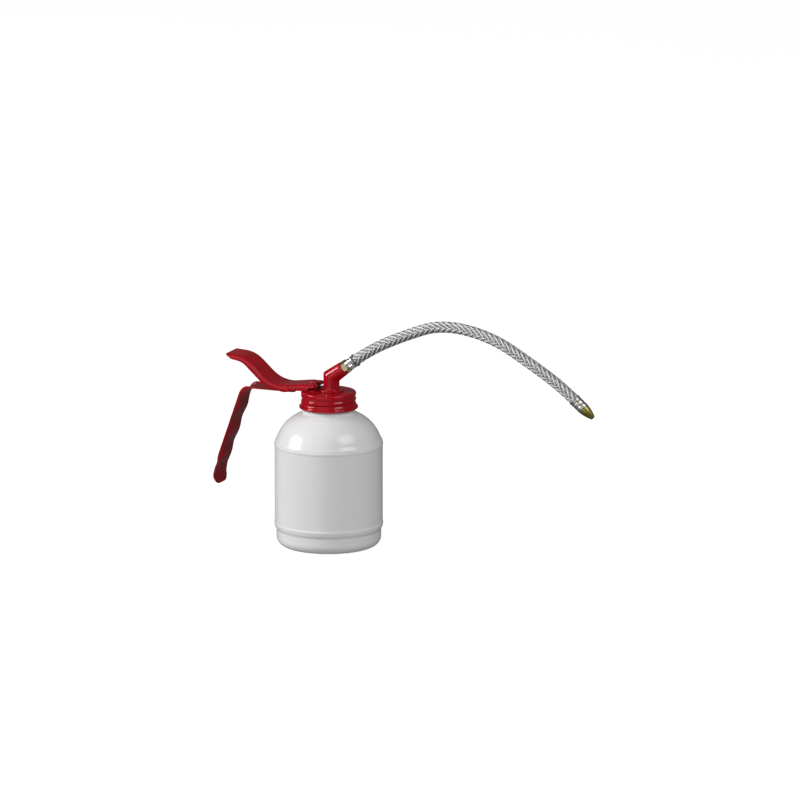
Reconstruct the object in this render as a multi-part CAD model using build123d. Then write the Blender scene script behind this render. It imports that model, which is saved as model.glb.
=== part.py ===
"""Hand lever oil can: plastic bottle, screw lid with a lift pump, thumb lever, grip and braided spout.

Millimetres, +Z up. The origin is the centre of the bottle's base, and +X points towards the spout.
"""
import math
import os

from build123d import *

# ---------------------------------------------------------------- driving dimensions
# clearances
THREAD_GAP = 0.3        # radial room between the neck's thread and the lid's
SEAL_GAP = 0.1          # gasket to neck and gasket to lid
RUN_GAP = 0.05          # radial running fit of rod, piston and pivots
SIDE_GAP = 0.3          # lever side wall to handle
HEAD_GAP = 0.1          # rod head above the lever

# bottle
BODY_R = 43.2
HEEL_R = 41.9
HEEL_CORNER_R = 7.5
HEEL_TOP_Z = 13.5
BODY_FOOT_Z = 16.0
BODY_TOP_Z = 85.0
BEAD_FROM_END = 2.4     # from either end of the straight body to its bead
BEAD_MINOR_R = 2.2
BEAD_PROUD = 0.45
SHOULDER_STEP_W = 1.7
SHOULDER_STEP_H = 3.0
SHOULDER_ARC_R = 32.0
SHOULDER_H = 19.8
BOTTLE_WALL = 1.3
NECK_BASE_PROUD = 0.9
NECK_BASE_H = 2.8
NECK_ROOT_R = 20.3
NECK_WALL = 1.7
NECK_H = 12.6
THREAD_DEPTH = 0.8
THREAD_PITCH = 4.0
THREAD_ROOT_HALF = 0.8
THREAD_TIP_HALF = 0.35
THREAD_LEAD_IN = 4.0
NECK_THREAD_TURNS = 1.6
LID_THREAD_TURNS = 1.5

# lid
LID_SHEET = 0.6
LID_EDGE_R = 1.5
LID_SKIRT_H = 12.6
LID_CURL_R = 1.2
LID_CURL_PROUD = 1.6
GASKET_T = 1.5

# pump under the lid
OUTLET_X = 2.5
PUMP_NECK_GAP = 0.4     # cylinder's outer side to the neck's bore
PUMP_BODY_H = 12.9
PUMP_BRIDGE_W = 9.4
OUTLET_WALL = 2.4
ROD_R = 1.5
CYLINDER_R = 5.2
CYLINDER_WALL = 0.8
CYLINDER_LENGTH = 34.0
SPIGOT_LENGTH = 5.0
ROD_WELL_R = 2.6
ROD_WELL_H = 3.4
PORT_RISE = 1.8
PORT_R = 1.2
GLAND_WALL = 1.45
GLAND_SPIGOT_DEPTH = 2.7
GLAND_HEX_WALL = 1.25
GLAND_HEX_H = 2.2
ROD_SEAL_H = 1.6
PISTON_REST_GAP = 1.1
PISTON_STUD_END = 0.5
PISTON_H = 1.8
CUP_BASE_H = 0.8
CUP_H = 2.6
CUP_LIP_W = 0.75
WASHER_LIP_GAP = 0.4
WASHER_H = 0.8
PISTON_STUD_R = 1.0
PISTON_NUT_AF = 5.0
PISTON_NUT_H = 2.4
SPRING_WIRE_R = 0.35
SPRING_ROD_GAP = 0.7
SPRING_TURNS = 8
SPRING_SEAT_GAP = 0.05

# foot valve and suction tube
FOOT_BODY_L = 12.0
FOOT_SPIGOT = 4.0
FOOT_SEAT_R = 1.6
FOOT_SEAT_RISE = 7.5
BALL_SIDE_GAP = 0.6
BALL_SEAT_GAP = 0.03
INLET_BALL_R = 2.5
INLET_BALL_LIFT = 1.4
STOP_PIN_GAP = 0.1
STOP_PIN_R = 0.6
STOP_PIN_END_GAP = 0.3
SUCTION_R = 2.5
SUCTION_WALL = 1.0
SUCTION_SOCKET = 5.0
SUCTION_FLOOR_GAP = 4.7
SUCTION_CUT_DEG = 35.0

# outlet elbow and its valve
ELBOW_FLANGE_R = 10.0
ELBOW_FLANGE_H = 1.5
ELBOW_R = 6.45
ELBOW_MOUTH_R = 5.65
ELBOW_POST_H = 11.7
ELBOW_ANGLE = 36.0
ELBOW_BARREL_LENGTH = 13.7
ELBOW_SPIGOT_WALL = 1.3
ELBOW_BORE_R = 1.6
ELBOW_SEAL_W = 2.6
ELBOW_SEAL_H = 0.8
OUTLET_SEAT_RISE = 4.6
OUTLET_CHAMBER_ABOVE_LID = 5.5
OUTLET_BALL_R = 2.2
OUTLET_BALL_SIDE_GAP = 0.5
OUTLET_SEAT_HOLE_R = 1.3
OUTLET_SPRING_TURNS = 7
OUTLET_SPRING_R = 1.7
OUTLET_WIRE_R = 0.2

# handle strip
STRIP_T = 1.2
STRIP_HALF_W = 10.7
STRIP_ELBOW_GAP = 0.7
STRIP_STEP_CLEAR = 1.4
STRIP_STEP_LENGTH = 2.4
STRIP_STEP_DROP = 1.5
GRIP_CORNER_X = -69.3
GRIP_BEND_R = 9.0
GRIP_LEAN_DEG = 19.5
WAVE_FIRST = 18.7       # along the grip, from its corner to the first crest
WAVE_PITCH = 21.4
WAVE_HALF_H = 1.3
WAVE_COUNT = 3
WAVE_R = 16.0
GRIP_TOE_S = 78.5
GRIP_TOE_LENGTH = 8.2
GRIP_TOE_TURN_DEG = 35.0
GRIP_TOE_HALF_W = 12.4
GRIP_TOE_CORNER_R = 8.0
LIP_H = 1.7
LIP_W = 1.0
LIP_FRONT_X = -50.5
LIP_END_S = 66.0
RIVET_BACK = 1.0
RIVET_Y = 8.0
RIVET_R = 1.2
RIVET_HEAD_R = 2.2
RIVET_HEAD_H = 1.0
RIVET_TAIL_R = 1.9
RIVET_TAIL_H = 0.8

# lever and its pivot
PIVOT_X = -31.0
PIVOT_RISE = 0.8
EAR_WALL = 0.7
EAR_T = 1.2
PIVOT_PIN_R = 1.2
PIVOT_HEAD_OVER = 0.7
PIVOT_HEAD_H = 1.0
PIVOT_HEAD_GAP = 0.1
LEVER_T = 1.0
LEVER_EDGE_R = 1.9
ROD_PAD_RISE = 5.7      # lever's flat pad under the rod head, above the lid's top
ROD_PAD_BACK = 5.0
ROD_PAD_FRONT = 4.0
# (x, height above the lid's top): corners of the lever's top line behind the pad, and of its lower edge
LEVER_TOP = ((-84.6, 25.6), (-67.9, 24.6), (-43.5, 2.3))
LEVER_TOP_RADII = (13.0, 16.0, 20.0, 1.2)
LEVER_NOSE_DROP = 2.4
LEVER_FOOT_RISE = 0.4
LEVER_EDGE = (
    (-24.0, LEVER_FOOT_RISE), (-33.5, -2.0), (-50.0, 1.5), (-70.2, 20.0), (-79.6, 21.5), (-83.4, 24.1),
)
LEVER_EDGE_RADII = (1.6, 8.0, 12.0, 12.0, 6.0, 2.5)
ROD_SLOT_GAP = 0.3
ROD_HEAD_OVER = 0.9
ROD_HEAD_H = 1.6

# spout
NIPPLE_AF = 9.6
NIPPLE_HEX_L = 4.6
NIPPLE_STUB_R = 3.0
NIPPLE_STUB_L = 6.0
NIPPLE_TAIL_L = 8.0
NIPPLE_BORE_R = 1.2
LINER_IN_R = 2.2
LINER_OUT_R = 3.6
HOSE_R = 4.5
FERRULE_GAP = 0.3
FERRULE_L = 7.5
FERRULE_R = 4.7
FERRULE_RIM_R = 5.5
FERRULE_RIM_L = 1.6
HOSE_LEAD = 17.0
HOSE_ROUTE = ((65.0, 175.6), (98.0, 187.8), (140.0, 181.0), (175.0, 161.0))
HOSE_END = (210.2, 136.4)
HOSE_END_DEG = -40.0
HOSE_TAIL = 15.5
END_FERRULE_L = 11.0
END_FERRULE_R = 4.7
END_FERRULE_LIP_R = 5.0
END_FERRULE_LIP_L = 1.2
NOZZLE_L = 10.5
NOZZLE_BASE_R = 4.4
NOZZLE_TIP_R = 1.9
NOZZLE_BORE_R = 0.9

# ---------------------------------------------------------------- sizes that follow
BEAD_ZS = (BODY_FOOT_Z + BEAD_FROM_END, BODY_TOP_Z - BEAD_FROM_END)
SHOULDER_FOOT_R = BODY_R - SHOULDER_STEP_W
SHOULDER_FOOT_Z = BODY_TOP_Z + SHOULDER_STEP_H
SHOULDER_TOP_Z = SHOULDER_FOOT_Z + SHOULDER_H
NECK_BASE_R = NECK_ROOT_R + NECK_BASE_PROUD
NECK_BASE_TOP_Z = SHOULDER_TOP_Z + NECK_BASE_H
NECK_TOP_Z = NECK_BASE_TOP_Z + NECK_H
NECK_THREAD_Z = NECK_BASE_TOP_Z + THREAD_LEAD_IN
NECK_BORE_R = NECK_ROOT_R - NECK_WALL
NECK_CREST_R = NECK_ROOT_R + THREAD_DEPTH

LID_UNDER_Z = NECK_TOP_Z + GASKET_T + 2 * SEAL_GAP
LID_TOP_Z = LID_UNDER_Z + LID_SHEET
LID_CURL_Z = LID_TOP_Z - LID_SKIRT_H
LID_IN_R = NECK_CREST_R + THREAD_GAP
LID_R = LID_IN_R + LID_SHEET
LID_CURL_OUT_R = LID_R + LID_CURL_PROUD
LID_THREAD_IN_R = NECK_ROOT_R + THREAD_GAP
LID_THREAD_Z = NECK_THREAD_Z + THREAD_PITCH / 2

PUMP_X = CYLINDER_R + PUMP_NECK_GAP - NECK_BORE_R
PUMP_BODY_BOTTOM_Z = LID_UNDER_Z - PUMP_BODY_H
CYLINDER_BORE_R = CYLINDER_R - CYLINDER_WALL
CYLINDER_BOTTOM_Z = PUMP_BODY_BOTTOM_Z - CYLINDER_LENGTH
SPIGOT_BOTTOM_Z = PUMP_BODY_BOTTOM_Z - SPIGOT_LENGTH
GLAND_SPIGOT_R = ROD_R + RUN_GAP + GLAND_WALL
GLAND_SPIGOT_BOTTOM_Z = LID_UNDER_Z - GLAND_SPIGOT_DEPTH
GLAND_HEX_AF = 2 * (GLAND_SPIGOT_R + GLAND_HEX_WALL)
PISTON_BOTTOM_Z = CYLINDER_BOTTOM_Z + FOOT_SPIGOT + PISTON_REST_GAP + PISTON_STUD_END + PISTON_NUT_H
PISTON_R = CYLINDER_BORE_R - RUN_GAP
CUP_Z = PISTON_BOTTOM_Z + PISTON_H
WASHER_R = PISTON_R - CUP_LIP_W - WASHER_LIP_GAP
WASHER_Z = CUP_Z + CUP_BASE_H
WASHER_TOP_Z = WASHER_Z + WASHER_H
SPRING_R = ROD_R + SPRING_ROD_GAP + SPRING_WIRE_R

FOOT_BOTTOM_Z = CYLINDER_BOTTOM_Z - FOOT_BODY_L
FOOT_SEAT_Z = FOOT_BOTTOM_Z + FOOT_SEAT_RISE
FOOT_CHAMBER_R = INLET_BALL_R + BALL_SIDE_GAP
SUCTION_FOOT_Z = BOTTLE_WALL + SUCTION_FLOOR_GAP

ELBOW_CORNER_Z = LID_TOP_Z + ELBOW_POST_H
OUTLET_CHAMBER_R = OUTLET_BALL_R + OUTLET_BALL_SIDE_GAP
ELBOW_SPIGOT_R = OUTLET_CHAMBER_R + ELBOW_SPIGOT_WALL
ELBOW_SEAL_OUT_R = ELBOW_SPIGOT_R + ELBOW_SEAL_W
OUTLET_BODY_R = ELBOW_SPIGOT_R + OUTLET_WALL
OUTLET_SEAT_Z = PUMP_BODY_BOTTOM_Z + OUTLET_SEAT_RISE
OUTLET_CHAMBER_TOP_Z = LID_TOP_Z + OUTLET_CHAMBER_ABOVE_LID

STRIP_Z = LID_TOP_Z
STRIP_TOP_Z = STRIP_Z + STRIP_T
STRIP_LOW_MID_Z = STRIP_Z + STRIP_T / 2 - STRIP_STEP_DROP
STRIP_FRONT_X = OUTLET_X - ELBOW_FLANGE_R - STRIP_ELBOW_GAP
STRIP_STEP_X = -LID_R - STRIP_STEP_CLEAR
RIVET_X = PUMP_X - RIVET_BACK

PIVOT_Z = LID_TOP_Z + PIVOT_RISE
EAR_R = PIVOT_PIN_R + EAR_WALL
PIVOT_HEAD_R = PIVOT_PIN_R + PIVOT_HEAD_OVER
LEVER_INNER_HALF_W = STRIP_HALF_W + SIDE_GAP
LEVER_HALF_W = LEVER_INNER_HALF_W + LEVER_T
ROD_PAD_Z = LID_TOP_Z + ROD_PAD_RISE
ROD_HEAD_Z = ROD_PAD_Z + HEAD_GAP
ROD_HEAD_R = ROD_R + ROD_HEAD_OVER
ROD_SLOT_HALF_W = ROD_R + ROD_SLOT_GAP

ELBOW_CORNER = Vector(OUTLET_X, 0, ELBOW_CORNER_Z)
BARREL_DIR = Vector(math.cos(math.radians(ELBOW_ANGLE)), 0, math.sin(math.radians(ELBOW_ANGLE)))
BARREL_PLANE = Plane(origin=ELBOW_CORNER, x_dir=(0, 1, 0), z_dir=BARREL_DIR)
MOUTH_PLANE = Plane(
    origin=ELBOW_CORNER + BARREL_DIR * ELBOW_BARREL_LENGTH, x_dir=(0, 1, 0), z_dir=BARREL_DIR
)
FERRULE_START = NIPPLE_HEX_L + FERRULE_GAP
HOSE_START = MOUTH_PLANE.origin + BARREL_DIR * (FERRULE_START + FERRULE_L)
END_DIR = Vector(math.cos(math.radians(HOSE_END_DEG)), 0, math.sin(math.radians(HOSE_END_DEG)))
END_POINT = Vector(HOSE_END[0], 0, HOSE_END[1])
END_PLANE = Plane(origin=END_POINT, x_dir=(0, 1, 0), z_dir=END_DIR)


# ---------------------------------------------------------------- helpers
def disc(radius, z_low, z_high, x=0.0, y=0.0):
    """Upright cylinder between two heights."""
    return Pos(x, y, z_low) * Cylinder(radius, z_high - z_low, align=(Align.CENTER, Align.CENTER, Align.MIN))


def barrel(plane, radius, low, high, top_radius=None):
    """Cylinder or cone along a plane's normal."""
    height = high - low
    align = (Align.CENTER, Align.CENTER, Align.MIN)
    if top_radius is None:
        return plane * Pos(0, 0, low) * Cylinder(radius, height, align=align)
    return plane * Pos(0, 0, low) * Cone(radius, top_radius, height, align=align)


def hexagon(across_flats, height):
    """Hexagonal prism standing on its origin."""
    return extrude(RegularPolygon(across_flats / 2, 6, major_radius=False), height)


def turned(outline):
    """Solid of revolution of a closed (radius, height) outline about the upright axis."""
    return revolve(Plane.XZ * make_face(outline), Axis.Z)


def slab(outline, y_low, y_high):
    """Closed (x, z) outline given a width along Y."""
    face = Plane.XZ * make_face(outline)
    return Pos(0, y_high, 0) * extrude(face, y_high - y_low)


def thread_form(root_r, tip_r, z_start, turns):
    """Right-hand helical ridge of a trapezoid section."""
    path = Helix(THREAD_PITCH, THREAD_PITCH * turns, root_r, center=(0, 0, z_start))
    section = Polyline(
        (root_r, z_start - THREAD_ROOT_HALF),
        (tip_r, z_start - THREAD_TIP_HALF),
        (tip_r, z_start + THREAD_TIP_HALF),
        (root_r, z_start + THREAD_ROOT_HALF),
        close=True,
    )
    return sweep(Plane.XZ * make_face(section), path, is_frenet=True)


def coil(radius, wire_r, z_low, z_high, turns, x):
    """Open compression spring between two heights."""
    height = z_high - z_low - 2 * wire_r
    path = Helix(height / turns, height, radius, center=(x, 0, z_low + wire_r))
    section = Plane(origin=path @ 0, z_dir=path % 0) * Circle(wire_r)
    return sweep(section, path, is_frenet=True)


def corner_radii(points):
    """For each corner of a route, the largest arc that its two straight runs leave room for."""
    radii = []
    for before, corner, after in zip(points, points[1:], points[2:]):
        run_in = corner - before
        run_out = after - corner
        half_turn = math.radians(run_in.get_angle(run_out)) / 2
        radii.append(0.45 * min(run_in.length, run_out.length) / math.tan(half_turn))
    return radii


# ---------------------------------------------------------------- bottle and lid
def bottle_outline(inset, top_z, top_r):
    """Half outline of the bottle, drawn in by the wall for its inside."""
    foot = SHOULDER_FOOT_R - inset
    heel = HEEL_R - inset
    corner = HEEL_CORNER_R - inset
    return (
        Polyline((0, inset), (heel - corner, inset))
        + RadiusArc((heel - corner, inset), (heel, inset + corner), -corner)
        + Polyline(
            (heel, inset + corner), (heel, HEEL_TOP_Z), (BODY_R - inset, BODY_FOOT_Z),
            (BODY_R - inset, BODY_TOP_Z), (foot, SHOULDER_FOOT_Z),
        )
        + RadiusArc((foot, SHOULDER_FOOT_Z), (top_r, SHOULDER_TOP_Z - inset), -(SHOULDER_ARC_R - inset))
        + Polyline((top_r, SHOULDER_TOP_Z - inset), (top_r, top_z), (0, top_z), (0, inset))
    )


def make_bottle():
    shell = turned(bottle_outline(0, NECK_BASE_TOP_Z, NECK_BASE_R))
    for z in BEAD_ZS:
        shell += Pos(0, 0, z) * Torus(BODY_R - BEAD_MINOR_R + BEAD_PROUD, BEAD_MINOR_R)
    shell += disc(NECK_ROOT_R, NECK_BASE_TOP_Z, NECK_TOP_Z)
    shell += thread_form(NECK_ROOT_R - 0.3, NECK_CREST_R, NECK_THREAD_Z, NECK_THREAD_TURNS)
    shell -= turned(bottle_outline(BOTTLE_WALL, SHOULDER_TOP_Z, NECK_BORE_R))
    return shell - disc(NECK_BORE_R, SHOULDER_TOP_Z - BOTTLE_WALL, NECK_TOP_Z)


def make_lid_gasket():
    low = NECK_TOP_Z + SEAL_GAP
    high = LID_UNDER_Z - SEAL_GAP
    outer = LID_THREAD_IN_R - 2 * SEAL_GAP
    return disc(outer, low, high) - disc(outer - NECK_WALL, low, high)


def make_screw_lid():
    shell = disc(LID_R, LID_CURL_Z, LID_TOP_Z)
    shell = fillet(shell.edges().group_by(Axis.Z)[-1], LID_EDGE_R)
    shell += Pos(0, 0, LID_CURL_Z) * Torus(LID_CURL_OUT_R - LID_CURL_R, LID_CURL_R)
    shell -= thread_form(LID_R + 0.3, LID_THREAD_IN_R + LID_SHEET, LID_THREAD_Z, LID_THREAD_TURNS)
    shell -= disc(LID_IN_R, LID_CURL_Z - 2 * LID_CURL_R, LID_UNDER_Z)
    shell += thread_form(LID_IN_R + 0.3, LID_THREAD_IN_R, LID_THREAD_Z, LID_THREAD_TURNS)
    shell -= disc(GLAND_SPIGOT_R, LID_UNDER_Z, LID_TOP_Z, PUMP_X)
    shell -= disc(ELBOW_SPIGOT_R, LID_UNDER_Z, LID_TOP_Z, OUTLET_X)
    for side in (-1, 1):
        shell -= disc(RIVET_R, LID_UNDER_Z, LID_TOP_Z, RIVET_X, side * RIVET_Y)
    return shell


# ---------------------------------------------------------------- pump
def make_pump_body():
    height = LID_UNDER_Z - PUMP_BODY_BOTTOM_Z
    bridge_x = (PUMP_X + OUTLET_X) / 2
    block = disc(CYLINDER_R, PUMP_BODY_BOTTOM_Z, LID_UNDER_Z, PUMP_X)
    block += disc(OUTLET_BODY_R, PUMP_BODY_BOTTOM_Z, LID_UNDER_Z, OUTLET_X)
    block += Pos(bridge_x, 0, PUMP_BODY_BOTTOM_Z + height / 2) * Box(
        OUTLET_X - PUMP_X, PUMP_BRIDGE_W, height
    )
    block += disc(CYLINDER_BORE_R, SPIGOT_BOTTOM_Z, PUMP_BODY_BOTTOM_Z, PUMP_X)
    well_top = PUMP_BODY_BOTTOM_Z + ROD_WELL_H
    port_z = PUMP_BODY_BOTTOM_Z + PORT_RISE
    block -= disc(ROD_WELL_R, SPIGOT_BOTTOM_Z, well_top, PUMP_X)
    block -= disc(ROD_R + RUN_GAP, well_top, LID_UNDER_Z, PUMP_X)
    block -= disc(GLAND_SPIGOT_R, GLAND_SPIGOT_BOTTOM_Z - ROD_SEAL_H, LID_UNDER_Z, PUMP_X)
    block -= disc(ELBOW_SPIGOT_R, OUTLET_SEAT_Z, LID_UNDER_Z, OUTLET_X)
    block -= disc(OUTLET_SEAT_HOLE_R, port_z, OUTLET_SEAT_Z, OUTLET_X)
    port = Plane(origin=(PUMP_X, 0, port_z), z_dir=(1, 0, 0))
    return block - barrel(port, PORT_R, 0, OUTLET_X - PUMP_X)


def make_pump_cylinder():
    tube = disc(CYLINDER_R, CYLINDER_BOTTOM_Z, PUMP_BODY_BOTTOM_Z, PUMP_X)
    return tube - disc(CYLINDER_BORE_R, CYLINDER_BOTTOM_Z, PUMP_BODY_BOTTOM_Z, PUMP_X)


def make_gland_nut():
    nut = Pos(PUMP_X, 0, STRIP_TOP_Z) * Rot(0, 0, 30) * hexagon(GLAND_HEX_AF, GLAND_HEX_H)
    nut += disc(GLAND_SPIGOT_R, GLAND_SPIGOT_BOTTOM_Z, STRIP_TOP_Z, PUMP_X)
    return nut - disc(ROD_R + RUN_GAP, GLAND_SPIGOT_BOTTOM_Z, STRIP_TOP_Z + GLAND_HEX_H, PUMP_X)


def make_rod_seal():
    low = GLAND_SPIGOT_BOTTOM_Z - ROD_SEAL_H
    ring = disc(GLAND_SPIGOT_R, low, GLAND_SPIGOT_BOTTOM_Z, PUMP_X)
    return ring - disc(ROD_R + RUN_GAP, low, GLAND_SPIGOT_BOTTOM_Z, PUMP_X)


def make_piston_rod():
    rod = disc(ROD_R, WASHER_TOP_Z, ROD_HEAD_Z, PUMP_X)
    rod += disc(PISTON_STUD_R, PISTON_BOTTOM_Z - PISTON_NUT_H - PISTON_STUD_END, WASHER_TOP_Z, PUMP_X)
    dome_r = (ROD_HEAD_R**2 + ROD_HEAD_H**2) / (2 * ROD_HEAD_H)
    dome = Pos(PUMP_X, 0, ROD_HEAD_Z + ROD_HEAD_H - dome_r) * Sphere(dome_r)
    return rod + (dome & disc(2 * ROD_HEAD_R, ROD_HEAD_Z, ROD_HEAD_Z + 2 * ROD_HEAD_H, PUMP_X))


def make_piston():
    ring = disc(PISTON_R, PISTON_BOTTOM_Z, CUP_Z, PUMP_X)
    return ring - disc(PISTON_STUD_R, PISTON_BOTTOM_Z, CUP_Z, PUMP_X)


def make_cup_seal():
    cup = disc(PISTON_R, CUP_Z, CUP_Z + CUP_H, PUMP_X)
    cup -= disc(PISTON_R - CUP_LIP_W, CUP_Z + CUP_BASE_H, CUP_Z + CUP_H, PUMP_X)
    return cup - disc(PISTON_STUD_R, CUP_Z, CUP_Z + CUP_BASE_H, PUMP_X)


def make_cup_washer():
    washer = disc(WASHER_R, WASHER_Z, WASHER_TOP_Z, PUMP_X)
    return washer - disc(PISTON_STUD_R, WASHER_Z, WASHER_TOP_Z, PUMP_X)


def make_piston_nut():
    nut = Pos(PUMP_X, 0, PISTON_BOTTOM_Z - PISTON_NUT_H) * hexagon(PISTON_NUT_AF, PISTON_NUT_H)
    return nut - disc(PISTON_STUD_R, PISTON_BOTTOM_Z - PISTON_NUT_H, PISTON_BOTTOM_Z, PUMP_X)


def make_return_spring():
    low = WASHER_TOP_Z + SPRING_SEAT_GAP
    return coil(SPRING_R, SPRING_WIRE_R, low, SPIGOT_BOTTOM_Z - SPRING_SEAT_GAP, SPRING_TURNS, PUMP_X)


def make_inlet_valve_body():
    body = disc(CYLINDER_R, FOOT_BOTTOM_Z, CYLINDER_BOTTOM_Z, PUMP_X)
    body += disc(CYLINDER_BORE_R, CYLINDER_BOTTOM_Z, CYLINDER_BOTTOM_Z + FOOT_SPIGOT, PUMP_X)
    body -= disc(FOOT_CHAMBER_R, FOOT_SEAT_Z, CYLINDER_BOTTOM_Z + FOOT_SPIGOT, PUMP_X)
    body -= disc(FOOT_SEAT_R, FOOT_BOTTOM_Z, FOOT_SEAT_Z, PUMP_X)
    body -= disc(SUCTION_R, FOOT_BOTTOM_Z, FOOT_BOTTOM_Z + SUCTION_SOCKET, PUMP_X)
    return body - make_ball_stop_pin()


def seated_ball_z(ball_r, hole_r, seat_z):
    """Centre of a ball that rests on the edge of a round seat, a hair above it."""
    return seat_z + math.sqrt(ball_r**2 - hole_r**2) + BALL_SEAT_GAP


def make_ball_stop_pin():
    ball_z = seated_ball_z(INLET_BALL_R, FOOT_SEAT_R, FOOT_SEAT_Z)
    pin_z = ball_z + INLET_BALL_R + INLET_BALL_LIFT + STOP_PIN_GAP + STOP_PIN_R
    half_length = CYLINDER_BORE_R - STOP_PIN_END_GAP
    across = Plane(origin=(PUMP_X, -half_length, pin_z), z_dir=(0, 1, 0))
    return barrel(across, STOP_PIN_R, 0, 2 * half_length)


def make_inlet_ball():
    return Pos(PUMP_X, 0, seated_ball_z(INLET_BALL_R, FOOT_SEAT_R, FOOT_SEAT_Z)) * Sphere(INLET_BALL_R)


def make_suction_tube():
    top = FOOT_BOTTOM_Z + SUCTION_SOCKET
    tube = disc(SUCTION_R, SUCTION_FOOT_Z, top, PUMP_X)
    tube -= disc(SUCTION_R - SUCTION_WALL, SUCTION_FOOT_Z, top, PUMP_X)
    cut = Plane(origin=(PUMP_X, 0, SUCTION_FOOT_Z + SUCTION_R)).rotated((0, SUCTION_CUT_DEG, 0))
    return split(tube, bisect_by=cut, keep=Keep.TOP)


# ---------------------------------------------------------------- elbow and its valve
def make_outlet_elbow():
    mitre_dir = (BARREL_DIR - Vector(0, 0, -1)).normalized()
    mitre = Plane(origin=ELBOW_CORNER, x_dir=(0, 1, 0), z_dir=mitre_dir)
    post = split(disc(ELBOW_R, LID_TOP_Z, ELBOW_CORNER_Z + 2 * ELBOW_R, OUTLET_X), mitre, Keep.BOTTOM)
    slope = (ELBOW_R - ELBOW_MOUTH_R) / ELBOW_BARREL_LENGTH
    back = ELBOW_R
    arm = barrel(BARREL_PLANE, ELBOW_R + slope * back, -back, ELBOW_BARREL_LENGTH, ELBOW_MOUTH_R)
    elbow = post + split(arm, mitre, Keep.TOP)
    flange = disc(ELBOW_FLANGE_R, LID_TOP_Z, LID_TOP_Z + ELBOW_FLANGE_H, OUTLET_X)
    elbow += fillet(flange.edges().group_by(Axis.Z)[-1], ELBOW_FLANGE_H / 3)
    elbow += disc(ELBOW_SPIGOT_R, OUTLET_SEAT_Z, LID_TOP_Z, OUTLET_X)
    elbow -= disc(OUTLET_CHAMBER_R, OUTLET_SEAT_Z, OUTLET_CHAMBER_TOP_Z, OUTLET_X)
    elbow -= disc(ELBOW_BORE_R, OUTLET_CHAMBER_TOP_Z, ELBOW_CORNER_Z, OUTLET_X)
    elbow -= barrel(BARREL_PLANE, ELBOW_BORE_R, 0, ELBOW_BARREL_LENGTH)
    elbow -= barrel(MOUTH_PLANE, NIPPLE_STUB_R, -NIPPLE_STUB_L, 0)
    return elbow - make_elbow_seal()


def make_elbow_seal():
    top = LID_TOP_Z + ELBOW_SEAL_H
    return disc(ELBOW_SEAL_OUT_R, LID_TOP_Z, top, OUTLET_X) - disc(ELBOW_SPIGOT_R, LID_TOP_Z, top, OUTLET_X)


def make_outlet_ball():
    ball_z = seated_ball_z(OUTLET_BALL_R, OUTLET_SEAT_HOLE_R, OUTLET_SEAT_Z)
    return Pos(OUTLET_X, 0, ball_z) * Sphere(OUTLET_BALL_R)


def make_outlet_spring():
    ball_top = seated_ball_z(OUTLET_BALL_R, OUTLET_SEAT_HOLE_R, OUTLET_SEAT_Z) + OUTLET_BALL_R
    low = ball_top + SPRING_SEAT_GAP
    high = OUTLET_CHAMBER_TOP_Z - SPRING_SEAT_GAP
    return coil(OUTLET_SPRING_R, OUTLET_WIRE_R, low, high, OUTLET_SPRING_TURNS, OUTLET_X)


# ---------------------------------------------------------------- handle
def grip_point(along, out=0.0):
    """Point beside the grip's mean line: along it from the corner, and out towards the bottle."""
    lean = math.radians(GRIP_LEAN_DEG)
    x = GRIP_CORNER_X - along * math.sin(lean) + out * math.cos(lean)
    z = STRIP_LOW_MID_Z - along * math.cos(lean) - out * math.sin(lean)
    return (x, z)


def wave_points():
    """Crests and troughs of the finger waves, from the bend down."""
    points = []
    for index in range(2 * WAVE_COUNT + 1):
        along = WAVE_FIRST + (index - 1) * WAVE_PITCH / 2
        side = -1 if index % 2 == 0 else 1
        points.append(grip_point(along, side * WAVE_HALF_H))
    return points


def strip_outline():
    """Thin (x, z) section of the bent strip, from the lid to the grip's toe."""
    mid_z = STRIP_Z + STRIP_T / 2
    toe = grip_point(GRIP_TOE_S)
    toe_heading = math.radians(270 - GRIP_LEAN_DEG + GRIP_TOE_TURN_DEG)
    tip = (toe[0] + GRIP_TOE_LENGTH * math.cos(toe_heading), toe[1] + GRIP_TOE_LENGTH * math.sin(toe_heading))
    points = [
        (STRIP_FRONT_X, mid_z),
        (STRIP_STEP_X, mid_z),
        (STRIP_STEP_X - STRIP_STEP_LENGTH, STRIP_LOW_MID_Z),
        (GRIP_CORNER_X, STRIP_LOW_MID_Z),
        *wave_points(),
        toe,
        tip,
    ]
    radii = [1.5, 1.5, GRIP_BEND_R, 8.0] + [WAVE_R] * (2 * WAVE_COUNT) + [9.0]
    return trace(FilletPolyline(*points, radius=radii), STRIP_T)


def lip_outline():
    """Section of the stiffening lips, between the strip and a straight line outside it."""
    waves = [point for index, point in enumerate(wave_points()) if index < 2 * WAVE_COUNT]
    inner = FilletPolyline(
        (LIP_FRONT_X, STRIP_LOW_MID_Z), (GRIP_CORNER_X, STRIP_LOW_MID_Z), *waves,
        radius=[GRIP_BEND_R, 8.0] + [WAVE_R] * (2 * WAVE_COUNT - 2),
    )
    rise = STRIP_T / 2 + LIP_H
    lean = math.radians(GRIP_LEAN_DEG)
    corner_shift = rise * math.tan(math.pi / 4 - lean / 2)
    corner = (GRIP_CORNER_X - corner_shift, STRIP_LOW_MID_Z + rise)
    end = grip_point(LIP_END_S, -rise)
    start = (LIP_FRONT_X - rise, STRIP_LOW_MID_Z + rise)
    outer = FilletPolyline(start, corner, end, radius=GRIP_BEND_R + rise)
    return inner + Line(inner @ 1, outer @ 1) + outer + Line(outer @ 0, inner @ 0)


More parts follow.
